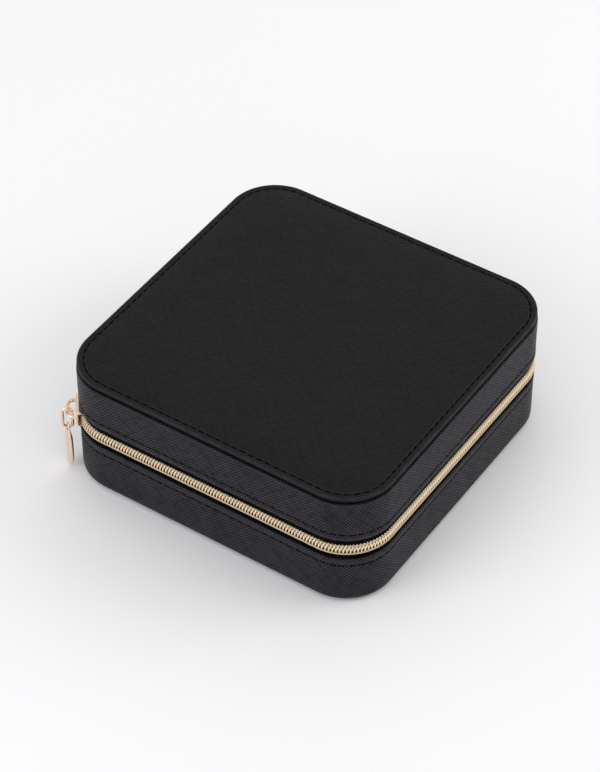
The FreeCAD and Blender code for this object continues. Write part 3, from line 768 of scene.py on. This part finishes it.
# Padded top panel: rolled rim, sewn channel and a low crown
def top_panel():
    inner = PANEL_INSET + PANEL_LEATHER_T
    under = PANEL_Z + PANEL_LEATHER_T
    ceiling = PANEL_TOP - PANEL_LEATHER_T
    vault = ceiling + PANEL_CROWN
    rim = PANEL_INSET - ROLL_BULGE
    channel = PANEL_STITCH_INSET
    corners = [(HALF, vault, 0), (FOAM_FLAT_INSET, vault, 0), (FOAM_TOP_INSET, vault, FOAM_TOP_R)]
    corners += [(FOAM_FOOT_INSET, ceiling, INNER_R), (inner, ceiling, CUT_R), (inner, under, CUT_R)]
    corners += [(TURN_IN, under, HEM_R), (TURN_IN, PANEL_Z, HEM_R)]
    # The undercut under the rim is marked for the deepest painted shade; the roll's foot is left unmarked
    corners += [(PANEL_INSET + UNDERCUT_INSET, PANEL_Z, UNDERCUT_R, DEEPEST_SHADE)]
    corners += [(PANEL_INSET + UNDERCUT_MID_INSET, PANEL_Z + UNDERCUT_MID_RISE, UNDERCUT_MID_R, DEEPEST_SHADE)]
    corners += [(rim, PANEL_Z + ROLL_FOOT_RISE, ROLL_FOOT_R, 0.0), (rim, PANEL_TOP + ROLL_BULGE, ROLL_R)]
    # The channel's lips get wear and painted highlight, its floor painted shade
    corners += [(channel - CHANNEL_HALF, PANEL_TOP, CHANNEL_OUT_R, CHANNEL_LIP_MARK)]
    corners += [(channel, PANEL_TOP - CHANNEL_D, CHANNEL_R, CHANNEL_SHADE_MARK)]
    corners += [(channel + CHANNEL_HALF, PANEL_TOP + CHANNEL_STEP, CHANNEL_IN_R, CHANNEL_LIP_MARK)]
    for inset in CROWN_INSETS:
        eased = 1 - math.exp(-(inset - channel - CROWN_START) / CROWN_EASE)
        corners.append((inset, PANEL_TOP + (PANEL_CROWN + CROWN_EXTRA) * eased, 0))
    return pad_surface("padded_top_panel", softened(corners, closed=False), PANEL_SWELL, PANEL_SEED)


panel = dress(top_panel(), PANEL_LEATHER, "lid", ["top_panel_leather"])


# Stitches and zip coil are laid along curves by geometry nodes
def path_curve(name, inset, z, start, length):
    """A curve along the outline at an inset, from a start and over a length in millimetres."""
    points = []
    done = 0.0
    walked = []
    count = len(OUTLINE)
    for i in range(count + 1):
        point, normal, _ = OUTLINE[i % count]
        flat = point - normal * inset
        if walked:
            done += (flat - walked[-1][0]).length
        walked.append((flat, done))
    stop = start + length

    def at(s):
        for (a, sa), (b, sb) in zip(walked, walked[1:]):
            if sa <= s <= sb:
                t = (s - sa) / max(sb - sa, TOUCH)
                return a + (b - a) * t
        return walked[-1][0]

    points.append(at(start))
    points += [flat for flat, s in walked if start + TOUCH < s < stop - TOUCH]
    points.append(at(stop))
    curve = bpy.data.curves.new(name, "CURVE")
    curve.dimensions = "3D"
    spline = curve.splines.new("POLY")
    spline.points.add(len(points) - 1)
    for target, flat in zip(spline.points, points):
        target.co = (flat.x * MM, flat.y * MM, z * MM, 1.0)
    return placed(name, curve)


def inset_length(inset):
    """Whole length of the outline at an inset, and the length of one of its corners."""
    corner = (CORNER_R - inset) * math.pi / 2
    return 4 * corner + 8 * STRAIGHT_HALF, corner


def new_tree(name, inputs):
    tree = bpy.data.node_groups.new(name, "GeometryNodeTree")
    tree.interface.new_socket("Geometry", in_out="INPUT", socket_type="NodeSocketGeometry")
    for label, kind in inputs:
        tree.interface.new_socket(label, in_out="INPUT", socket_type=kind)
    tree.interface.new_socket("Geometry", in_out="OUTPUT", socket_type="NodeSocketGeometry")
    return tree, add(tree, "NodeGroupInput"), add(tree, "NodeGroupOutput")


def along_path(tree, source, result, form):
    """Set copies of a form at even places on the curve, turned along it, as plain mesh."""
    places = add(tree, "GeometryNodeCurveToPoints", mode="COUNT")
    join(tree, source.outputs["Geometry"], places.inputs["Curve"])
    join(tree, source.outputs["Count"], places.inputs["Count"])
    turn = add(tree, "FunctionNodeAlignRotationToVector", axis="X", pivot_axis="Z")
    join(tree, places.outputs["Tangent"], turn.inputs["Vector"])
    copies = add(tree, "GeometryNodeInstanceOnPoints")
    join(tree, places.outputs["Points"], copies.inputs["Points"])
    join(tree, form, copies.inputs["Instance"])
    join(tree, turn.outputs["Rotation"], copies.inputs["Rotation"])
    last = copies
    for kind in ("GeometryNodeRealizeInstances", "GeometryNodeSetShadeSmooth", "GeometryNodeSetMaterial"):
        following = add(tree, kind)
        join(tree, last.outputs[0], following.inputs[0])
        last = following
    join(tree, source.outputs["Material"], last.inputs["Material"])
    join(tree, last.outputs[0], result.inputs["Geometry"])


def stitch_tree():
    inputs = [("Count", "NodeSocketInt"), ("Stitch size", "NodeSocketVector")]
    inputs += [("Slant", "NodeSocketVector"), ("Material", "NodeSocketMaterial")]
    tree, source, result = new_tree("stitch_row", inputs)
    bead = add(tree, "GeometryNodeMeshUVSphere", {"Segments": 8, "Rings": 6, "Radius": 0.5})
    shaped = add(tree, "GeometryNodeTransform")
    join(tree, bead.outputs["Mesh"], shaped.inputs["Geometry"])
    join(tree, source.outputs["Stitch size"], shaped.inputs["Scale"])
    join(tree, source.outputs["Slant"], shaped.inputs["Rotation"])
    along_path(tree, source, result, shaped.outputs["Geometry"])
    return tree


def coil_tree():
    inputs = [("Count", "NodeSocketInt"), ("Wire", "NodeSocketFloat")]
    outer = ("Head", "Head handle", "Root handle", "Root")
    inner = ("Root", "Return handle", "Next handle", "Next head")
    labels = list(dict.fromkeys(outer + inner))
    inputs += [(label, "NodeSocketVector") for label in labels]
    tree, source, result = new_tree("zip_coil_row", inputs + [("Material", "NodeSocketMaterial")])
    wire = add(tree, "GeometryNodeCurvePrimitiveCircle", {"Resolution": 7})
    join(tree, source.outputs["Wire"], wire.inputs["Radius"])
    loop = add(tree, "GeometryNodeJoinGeometry")
    for legs, steps in ((outer, 6), (inner, 4)):
        leg = add(tree, "GeometryNodeCurvePrimitiveBezierSegment", {"Resolution": steps}, mode="POSITION")
        for label, socket in zip(legs, ("Start", "Start Handle", "End Handle", "End")):
            join(tree, source.outputs[label], leg.inputs[socket])
        tube = add(tree, "GeometryNodeCurveToMesh", {"Fill Caps": True})
        join(tree, leg.outputs["Curve"], tube.inputs["Curve"])
        join(tree, wire.outputs["Curve"], tube.inputs["Profile Curve"])
        join(tree, tube.outputs["Mesh"], loop.inputs["Geometry"])
    along_path(tree, source, result, loop.outputs["Geometry"])
    return tree


def laid(name, curve, tree, values):
    """Run a tree on a curve with its named inputs and keep the result as a plain mesh."""
    modifier = curve.modifiers.new("laid", "NODES")
    modifier.node_group = tree
    for item in tree.interface.items_tree:
        if item.in_out == "INPUT" and item.name in values:
            modifier[item.identifier] = values[item.name]
    bpy.context.view_layer.update()
    evaluated = curve.evaluated_get(bpy.context.evaluated_depsgraph_get())
    mesh = bpy.data.meshes.new_from_object(evaluated)
    mesh.name = name
    bpy.data.objects.remove(curve)
    return placed(name, mesh)


STITCHES = stitch_tree()
COIL = coil_tree()
STITCH_SIZE = (3.0 * MM, 0.66 * MM, 0.62 * MM)
STITCH_SLANT = math.radians(5)
BAND_STITCH_INSET = 0.3
PANEL_STITCH_SINK = 0.26


def stitch_ring(name, inset, z, body, slant):
    length, _ = inset_length(inset)
    count = int(length / STITCH_PITCH)
    curve = path_curve(name + "_path", inset, z, 0.0, length * (count - 1) / count)
    values = {"Count": count, "Stitch size": STITCH_SIZE, "Slant": slant, "Material": THREAD}
    return dress(laid(name, curve, STITCHES, values), THREAD, body)


panel_seam_z = PANEL_TOP - PANEL_STITCH_SINK
stitch_ring("base_band_stitches", BAND_STITCH_INSET, BASE_STITCH_Z, "base", (0.0, STITCH_SLANT, 0.0))
stitch_ring("lid_band_stitches", BAND_STITCH_INSET, LID_STITCH_Z, "lid", (0.0, -STITCH_SLANT, 0.0))
stitch_ring("top_panel_stitches", PANEL_STITCH_INSET, panel_seam_z, "lid", (0.0, 0.0, STITCH_SLANT))


# Zip tapes, open along the hinge
def tape_stations():
    first = BACK_HALF
    last = OUTLINE_LENGTH - BACK_HALF
    return [s for s in OUTLINE if first - TOUCH <= s[2] <= last + TOUCH]


def tape(name, z0, z1):
    corners = [(TAPE_IN, z0, CUT_R), (TAPE_OUT, z0, CUT_R), (TAPE_OUT, z1, CUT_R), (TAPE_IN, z1, CUT_R)]
    return swept_band(name, softened(corners, steps=2), tape_stations())


LOWER_TAPE_TOP = ZIP_Z - TAPE_GAP_HALF
UPPER_TAPE_LOW = ZIP_Z + TAPE_GAP_HALF
lower_tape = tape("lower_woven_tape", BASE_RIM_Z - TAPE_SEWN, LOWER_TAPE_TOP)
dress(lower_tape, TAPE, "base", ["lower_zip_tape"])
upper_tape = tape("upper_woven_tape", UPPER_TAPE_LOW, LID_RIM_Z + TAPE_SEWN)
dress(upper_tape, TAPE, "lid", ["upper_zip_tape", "upper_tape_ends"])


# Gold zip coil: two rows of slanted loops that meet in the middle, in millimetres
COIL_Z = 32.4
COIL_INSET = 1.4
LOWER_LEAN = 0.10
UPPER_LEAN = 0.38
COIL_REACH = 2.2
COIL_CROSS = 0.6
COIL_WIRE = 0.44
LOWER_SEWING_INSET = 0.1
UPPER_SEWING_INSET = 0.6
SEWING_R = 0.38
SEWING_SHIFT = 0.2
SEWING_TURNS = 8


def coil_run(inset):
    """Where the coil starts and ends, as lengths along the outline at an inset."""
    _, corner = inset_length(inset)
    first = BACK_HALF + corner * (SLIDER_ANGLE - 90) / 90
    last = BACK_HALF + 4 * corner + 6 * STRAIGHT_HALF - corner * (90 - COIL_END_ANGLE) / 90
    return first, last


def coil_row(name, up, lean, shift, body, nodes):
    """One row; a loop has an outer leg from head to root and an inner leg on to the next head."""
    first, last = coil_run(COIL_INSET)
    first += shift
    count = int((last - first) / PITCH)
    curve = path_curve(name + "_path", COIL_INSET, COIL_Z, first, PITCH * (count - 1))
    lean = up * lean
    step = up * PITCH
    forms = (
        ("Head", (lean, -0.6, up * COIL_CROSS)),
        ("Head handle", (lean * 0.7, -1.3, -up * 0.4)),
        ("Root handle", (-lean, -1.25, -up * (COIL_REACH + 0.1))),
        ("Root", (-lean, -0.1, -up * COIL_REACH)),
        ("Return handle", (-lean, 0.2, -up * COIL_REACH)),
        ("Next handle", (lean - step, 0.15, -up * 0.5)),
        ("Next head", (lean - step, -0.5, up * COIL_CROSS)),
    )
    values = {"Count": count, "Wire": COIL_WIRE * MM, "Material": GOLD}
    for label, form in forms:
        values[label] = tuple(v * MM for v in form)
    return dress(laid(name, curve, COIL, values), GOLD, body, nodes)


coil_row("lower_gold_coil", 1, LOWER_LEAN, 0.0, "base", ["lower_zip_coil", "lower_coil_end"])
coil_row("upper_gold_coil", -1, UPPER_LEAN, PITCH / 2, "lid", ["upper_zip_coil", "upper_coil_ends"])


# Sewing lines that hold the roots of the coil on the tape
def coil_sewing(name, up, inset, body):
    first, last = coil_run(0.0)
    z = COIL_Z - up * (COIL_REACH - SEWING_SHIFT)
    section = []
    for a in circle_angles(SEWING_TURNS):
        section.append((inset + SEWING_R * math.cos(a), z + SEWING_R * math.sin(a), 0.0))
    stations = [s for s in OUTLINE if first <= s[2] <= last]
    return dress(swept_band(name, section, stations, LINE_SMOOTH_ANGLE), SEWING, body)


coil_sewing("lower_coil_sewing", 1, LOWER_SEWING_INSET, "base")
coil_sewing("upper_coil_sewing", -1, UPPER_SEWING_INSET, "lid")

# Slider's arch, link and pull tab in millimetres, outward from the corner's centre and along the zip
PLATE_X = CORNER_R + 1.5
BAR_X = PLATE_X + 4.0
BAR_TURNS = 14
ARCH_STEPS = 28
ARCH_HALF = 5.6
ARCH_FULLNESS = 0.72
ARCH_HALF_DEPTH = 0.72
ARCH_HALF_WIDTH = 0.95
LINK_STEPS = 16
LINK_WIRE = 1.4
LINK_MID_R = 2.163
LINK_PITCH = 7.0
LINK_SET = 2.0
TAB_STEPS = 46
TAB_TURNS = 32
TAB_TWIST = 18.0
TAB_EYE_R = 2.6
TAB_HOLE_R = 1.6
TAB_HALF = 4.3
TAB_BELLY = 13.5
TAB_LENGTH = 22.4
TAB_THIN_END = 1.7
TAB_THICKENING = 4.0
TAB_CLOSING = 1.6
TAB_EYE_HALF_T = 0.55
TAB_HALF_T = 1.4
DRILL_HALF = 3.0


# Bars of the slider's arch and the pull's link, bent from one section
def bent_bar(name, path, side, reach, width, closed):
    """Carry an oval section along a flat path; side is the direction across the path's plane."""
    bm = bmesh.new()
    rings = []
    count = len(path)
    for i, here in enumerate(path):
        before = path[i - 1] if closed or i else here
        after = path[(i + 1) % count] if closed or i + 1 < count else here
        out = (after - before).normalized().cross(side)
        ring = []
        for a in circle_angles(BAR_TURNS):
            offset = out * (reach * math.cos(a) * MM) + side * (width * math.sin(a) * MM)
            ring.append(bm.verts.new(here + offset))
        rings.append(ring)
    skin_rings(bm, rings, closed)
    if not closed:
        cap_rings(bm, rings)
    return finish_mesh(name, bm, ROUND_SMOOTH_ANGLE)


def rotated(x, y, degrees):
    a = math.radians(degrees)
    return x * math.cos(a) - y * math.sin(a), x * math.sin(a) + y * math.cos(a)


def at_slider(x, y, z):
    """A place given outward from the corner's centre, along the zip and up from it."""
    east, north = rotated(x, y, SLIDER_ANGLE)
    return Vector((east - STRAIGHT_HALF, north + STRAIGHT_HALF, ZIP_Z + z)) * MM


def slider_arch():
    path = []
    for i in range(ARCH_STEPS + 1):
        a = math.pi * i / ARCH_STEPS
        along = math.copysign(abs(math.cos(a)) ** ARCH_FULLNESS, math.cos(a))
        rise = math.sin(a) ** ARCH_FULLNESS
        path.append(at_slider(PLATE_X + (BAR_X - PLATE_X) * rise, ARCH_HALF * along, 0.0))
    return bent_bar("slider_arch", path, Vector((0, 0, 1)), ARCH_HALF_DEPTH, ARCH_HALF_WIDTH, False)


def pull_link():
    path = []
    for centre, start in ((0.0, 0.0), (-LINK_PITCH, math.pi)):
        for i in range(LINK_STEPS + 1):
            a = start + math.pi * i / LINK_STEPS
            out = BAR_X + LINK_MID_R * math.cos(a)
            path.append(at_slider(out, LINK_SET, centre + LINK_MID_R * math.sin(a)))
    side = (at_slider(0, 1, 0) - at_slider(0, 0, 0)).normalized()
    return bent_bar("pull_ring_link", path, side, LINK_WIRE / 2, LINK_WIRE / 2, True)


def at_tab(x, y, z):
    """A place on the pull tab, which hangs a little turned in the link."""
    out, along = rotated(x, y, TAB_TWIST)
    return at_slider(BAR_X + out, LINK_SET + along, z - LINK_PITCH - LINK_MID_R)


def tab_width(z):
    """Half the petal's width at a height from the eye's centre."""
    if z > 0:
        return math.sqrt(max(TAB_EYE_R ** 2 - z * z, 0.0))
    if z > -TAB_BELLY:
        return TAB_EYE_R + (TAB_HALF - TAB_EYE_R) * math.sin(math.pi / 2 * -z / TAB_BELLY)
    fall = (-z - TAB_BELLY) / (TAB_LENGTH - TAB_BELLY)
    return TAB_HALF * math.sqrt(max(1 - fall * fall, 0.0))


def tab_thickness(z, width):
    """Half the petal's thickness: thin at the eye, full at the belly, closing at the ends."""
    share = min(max((-z - TAB_THIN_END) / TAB_THICKENING, 0.0), 1.0)
    share = share * share * (3 - 2 * share)
    full = TAB_EYE_HALF_T + (TAB_HALF_T - TAB_EYE_HALF_T) * share
    return full * min(1.0, math.sqrt(width / TAB_CLOSING))


def petal_tab():
    """A lens-shaped petal with an eye bored through its top."""
    angles = circle_angles(TAB_TURNS)
    bm = bmesh.new()
    rings = []
    for i in range(1, TAB_STEPS):
        z = TAB_EYE_R - (TAB_EYE_R + TAB_LENGTH) * (1 - math.cos(math.pi * i / TAB_STEPS)) / 2
        width = tab_width(z)
        depth = tab_thickness(z, width)
        rings.append([bm.verts.new(at_tab(depth * math.cos(a), width * math.sin(a), z)) for a in angles])
    skin_rings(bm, rings)
    for ring, z in ((rings[0], TAB_EYE_R), (rings[-1], -TAB_LENGTH)):
        pole = bm.verts.new(at_tab(0, 0, z))
        for k in range(TAB_TURNS):
            bm.faces.new((ring[k], ring[(k + 1) % TAB_TURNS], pole))
    tab = finish_mesh("petal_pull_tab", bm)
    bore = bmesh.new()
    hole = [(TAB_HOLE_R * math.cos(a), TAB_HOLE_R * math.sin(a)) for a in angles]
    ends = []
    for x in (-DRILL_HALF, DRILL_HALF):
        ends.append([bore.verts.new(at_tab(x, y, z)) for y, z in hole])
    skin_rings(bore, ends)
    cap_rings(bore, ends)
    drill = finish_mesh("tab_eye_drill", bore)
    cut = tab.modifiers.new("eye", "BOOLEAN")
    cut.operation = "DIFFERENCE"
    cut.object = drill
    bored = bpy.data.meshes.new_from_object(tab.evaluated_get(bpy.context.evaluated_depsgraph_get()))
    tab.modifiers.clear()
    tab.data = bored
    bored.shade_smooth()
    bored.set_sharp_from_angle(angle=math.radians(SMOOTH_ANGLE))
    bpy.data.objects.remove(drill)
    return tab


dress(slider_arch(), ROSE, "slider", ["slider_crown"])
dress(pull_link(), ROSE, "pull_link", ["pull_link"])
dress(petal_tab(), SATIN_ROSE, "pull_tab", ["pull_tab"])

# Other metal pieces with eased edges
SLIDER_EASE = 0.18
STOP_EASE = 0.12
for node, name, body, bevel in (
    ("slider_body", "zip_slider", "slider", SLIDER_EASE),
    ("lower_top_stop", "lower_zip_stop", "base", STOP_EASE),
    ("upper_top_stop", "upper_zip_stop", "lid", STOP_EASE),
    ("zip_bottom_stop", "zip_end_stop", "base", STOP_EASE),
):
    dress(dressed_copy(name, node, bevel), ROSE, body, [node])


# Hinge strips at the back, between base and lid
HINGE_COLUMNS = 40
HINGE_LEATHER_ROWS = 36
HINGE_LINING_ROWS = 30


def hinge_strip(name, node, rows, material):
    low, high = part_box(node)
    heights = [low.z + (high.z - low.z) * j / rows for j in range(rows + 1)]
    bm = bmesh.new()
    grain = bm.loops.layers.uv.new("grain")
    rings = []
    for i in range(HINGE_COLUMNS + 1):
        x = low.x + (high.x - low.x) * i / HINGE_COLUMNS
        inner = [bm.verts.new((x, low.y, z)) for z in heights]
        outer = [bm.verts.new((x, high.y, z)) for z in heights]
        rings.append(inner + outer[::-1])
    skin_rings(bm, rings)
    for ring in (rings[0], rings[-1]):
        for j in range(rows):
            bm.faces.new((ring[j], ring[j + 1], ring[-2 - j], ring[-1 - j]))
    for face in bm.faces:
        for loop in face.loops:
            loop[grain].uv = (loop.vert.co.x, loop.vert.co.z)
    strip = dress(finish_mesh(name, bm), material, None, [node])
    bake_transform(strip)
    return strip


hinge_strip("hinge_leather_strip", "hinge_leather", HINGE_LEATHER_ROWS, LEATHER)
hinge_strip("hinge_lining_strip", "hinge_lining", HINGE_LINING_ROWS, LINING)


# Linings and bottom cover, in millimetres
LIP_H = 0.8
LIP_R = 0.5
LIP_FOLD_R = 0.9
FOOT_GAP = 0.1
LINING_EDGE_R = 0.4
COVER_EDGE_R = 0.3
PAD_MARGIN = 6.0
PAD_RING_INSET = 25.0
PAD_INNER_INSET = 50.0


def wall_lining(name, foot, rim, up):
    lip = rim - up * LIP_H
    corners = [(LINING_OUT, foot, CUT_R), (LINING_OUT, lip, CUT_R), (BOARD_FACE, lip, CUT_R)]
    corners += [(BOARD_FACE, rim, LIP_R), (LINING_IN, rim, LIP_FOLD_R), (LINING_IN, foot, INNER_R)]
    return swept_band(name, softened(corners))


def flat_pad(name, inset, z0, z1, edge):
    corners = [(HALF, z0, 0), (PAD_INNER_INSET, z0, 0), (inset, z0, edge), (inset, z1, edge)]
    for ring in (inset + PAD_MARGIN, PAD_RING_INSET, PAD_INNER_INSET, HALF):
        corners.append((ring, z1, 0))
    return pad_surface(name, softened(corners, closed=False))


base_wall = wall_lining("base_suede_wall", FLOOR_LINING_TOP + FOOT_GAP, BASE_RIM_Z, 1)
dress(base_wall, LINING, "base", ["base_wall_lining"])
lid_wall = wall_lining("lid_suede_wall", CEILING_Z - FOOT_GAP, LID_RIM_Z, -1)
dress(lid_wall, LINING, "lid", ["lid_wall_lining"])
floor_cloth = flat_pad("base_suede_floor", LINING_OUT, FLOOR_LINING_Z, FLOOR_LINING_TOP, LINING_EDGE_R)
dress(floor_cloth, LINING, "base", ["base_floor_lining"])
ceiling_cloth = flat_pad("lid_suede_ceiling", LINING_OUT, CEILING_Z, CEILING_TOP, LINING_EDGE_R)
dress(ceiling_cloth, LINING, "lid", ["lid_ceiling_lining"])
bottom_cloth = flat_pad("brushed_bottom_cover", COVER_INSET, 0.0, COVER_T, COVER_EDGE_R)
dress(bottom_cloth, COVER_CLOTH, "base", ["base_bottom_cover"])


# Covered dividers: boards wrapped in suede with a rounded top edge
DIVIDER_EASE = 1.1


def covered_divider(name, node):
    low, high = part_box(node)
    bm = bmesh.new()
    bmesh.ops.create_cube(bm, size=1.0)
    for vert in bm.verts:
        for axis in range(3):
            vert.co[axis] = low[axis] if vert.co[axis] < 0 else high[axis]
    top = [e for e in bm.edges if all(v.co.z > high.z - TOUCH for v in e.verts)]
    bmesh.ops.bevel(bm, geom=top, offset=DIVIDER_EASE * MM, segments=5, profile=0.5, affect="EDGES")
    return dress(finish_mesh(name, bm), LINING, "base", [node])


for node in ("front_divider", "back_divider", "middle_divider", "short_divider"):
    covered_divider("suede_" + node, node)


# Ring rolls: soft cylinders with tucked ends that flatten a little where they rest
ROLL_COUNT = 6
ROLL_AROUND = 40
ROLL_ALONG = 44
ROLL_FIT = 0.985
ROLL_REST = 0.04 * MM
TUCK_LENGTH = 3.2 * MM
TUCK_DEPTH = 0.75
RIPPLE = 0.18 * MM
RIPPLE_ALONG = 70
RIPPLE_AROUND = 1.4
RIPPLE_SHIFT = 3.1


def ring_roll(number):
    node = "ring_roll_" + str(number)
    low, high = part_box(node)
    radius = (high.y - low.y) / 2
    mid_y = (low.y + high.y) / 2
    mid_z = high.z - radius
    bm = bmesh.new()
    rings = []
    for i in range(ROLL_ALONG + 1):
        t = i / ROLL_ALONG
        x = low.x + (high.x - low.x) * (0.5 - 0.5 * math.cos(math.pi * t))
        reach = min(x - low.x, high.x - x)
        slump = max(0.0, 1 - reach / TUCK_LENGTH)
        girth = radius * math.sqrt(max(1 - TUCK_DEPTH * slump ** 2, 0.0))
        ring = []
        for a in circle_angles(ROLL_AROUND):
            spot = Vector((x * RIPPLE_ALONG + number * RIPPLE_SHIFT, a * RIPPLE_AROUND, number))
            r = girth * ROLL_FIT + min(RIPPLE * noise.noise(spot), 0.0)
            z = max(mid_z + r * math.cos(a), low.z + ROLL_REST)
            ring.append(bm.verts.new((x, mid_y + r * math.sin(a), z)))
        rings.append(ring)
    skin_rings(bm, rings)
    cap_rings(bm, rings)
    soft = finish_mesh("soft_" + node, bm, ROUND_SMOOTH_ANGLE)
    roll = dress(soft, ROLL_SUEDE, "base", [node])
    return roll


for number in range(1, ROLL_COUNT + 1):
    ring_roll(number)


# Mirror frame, and the pieces that show as their solids are
FRAME_EASE = 0.35
mirror_frame = dressed_copy("covered_mirror_frame", "mirror_frame", FRAME_EASE, 3)
dress(mirror_frame, FRAME_LEATHER, "lid", ["mirror_frame"])
for node, material in (
    ("mirror_glass", MIRROR),
    ("base_floor_board", BOARD),
    ("base_wall_board", BOARD),
    ("base_bottom_infill", BOARD),
    ("lid_top_board", BOARD),
    ("lid_wall_board", BOARD),
    ("lid_infill_card", BOARD),
    ("top_panel_card", BOARD),
    ("top_panel_foam", FOAM),
):
    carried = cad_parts[node]
    carried.data.materials.clear()
    carried.data.materials.append(material)


# Camera at the photograph's viewing angle
AZIMUTH = math.radians(-56.374)
ELEVATION = math.radians(44.068)
CAMERA_PLACE = Vector((-0.74922, -0.49827, 0.90137))
SENSOR = 36.0
LENS = 130.19
LENS_SHIFT = (-0.01186, 0.0004)
NEAREST = 0.05
FARTHEST = 50.0
from_target = Vector((
    math.sin(AZIMUTH) * math.cos(ELEVATION),
    -math.cos(AZIMUTH) * math.cos(ELEVATION),
    math.sin(ELEVATION),
))
camera_data = bpy.data.cameras.new("photo_view")
camera_data.sensor_width = SENSOR
camera_data.lens = LENS
camera_data.shift_x, camera_data.shift_y = LENS_SHIFT
camera_data.clip_start = NEAREST
camera_data.clip_end = FARTHEST
camera = placed("photo_view", camera_data)
camera.location = CAMERA_PLACE
camera.rotation_mode = "QUATERNION"
camera.rotation_quaternion = (-from_target).to_track_quat("-Z", "Y")
scene.camera = camera


# Pale floor
FLOOR_HALF = 4.0
FLOOR_DROP = 0.2 * MM
FLOOR_DARK = (0.93, 0.93, 0.935)
FLOOR_LIGHT = (0.95, 0.95, 0.955)


def pale_floor():
    bm = bmesh.new()
    bmesh.ops.create_grid(bm, x_segments=1, y_segments=1, size=FLOOR_HALF)
    floor = finish_mesh("pale_floor", bm)
    floor.location.z = -FLOOR_DROP
    material, tree, shader = new_finish("pale_floor_paint")
    cloud = noise_at(tree, object_place(tree), 2.0, 2.0, 0.5)
    join(tree, mixed(tree, cloud, FLOOR_DARK, FLOOR_LIGHT), shader.inputs["Base Color"])
    settle(shader, {"Roughness": 0.6, "Specular IOR Level": 0.2})
    floor.data.materials.append(material)


pale_floor()


# Soft studio light: a pale surround and broad lamps
WHITE = (1.0, 1.0, 1.0)
COOL = (0.93, 0.94, 1.0)
WARM = (1.0, 0.99, 0.98)
SURROUND_STRENGTH = 0.70


def soft_lamp(name, place, aim, size, power, tint):
    lamp = bpy.data.lights.new(name, "AREA")
    lamp.shape = "DISK"
    lamp.size = size
    lamp.energy = power
    lamp.color = tint
    holder = placed(name, lamp)
    holder.location = place
    holder.rotation_mode = "QUATERNION"
    holder.rotation_quaternion = (Vector(aim) - Vector(place)).to_track_quat("-Z", "Y")


soft_lamp("overhead_softbox", place=(0.0, 0.0, 1.6), aim=(0, 0, 0), size=1.4, power=2.4, tint=WHITE)
soft_lamp("back_right_softbox", place=(1.05, 0.35, 1.1), aim=(0, 0, 0.05), size=1.1, power=1.0, tint=WHITE)
soft_lamp("left_softbox", place=(-1.15, 0.6, 0.7), aim=(0, 0, 0.03), size=1.1, power=6.8, tint=COOL)
soft_lamp("right_softbox", place=(0.85, -1.1, 0.7), aim=(0, 0, 0.03), size=1.1, power=7.0, tint=WARM)

world = bpy.data.worlds.new("pale_surround")
scene.world = world
world.use_nodes = True
sky = world.node_tree
sky.nodes.clear()
light = add(sky, "ShaderNodeBackground", {"Color": (*WHITE, 1.0), "Strength": SURROUND_STRENGTH})
surround = add(sky, "ShaderNodeOutputWorld")
join(sky, light.outputs[0], surround.inputs["Surface"])

scene.view_settings.view_transform = "Standard"
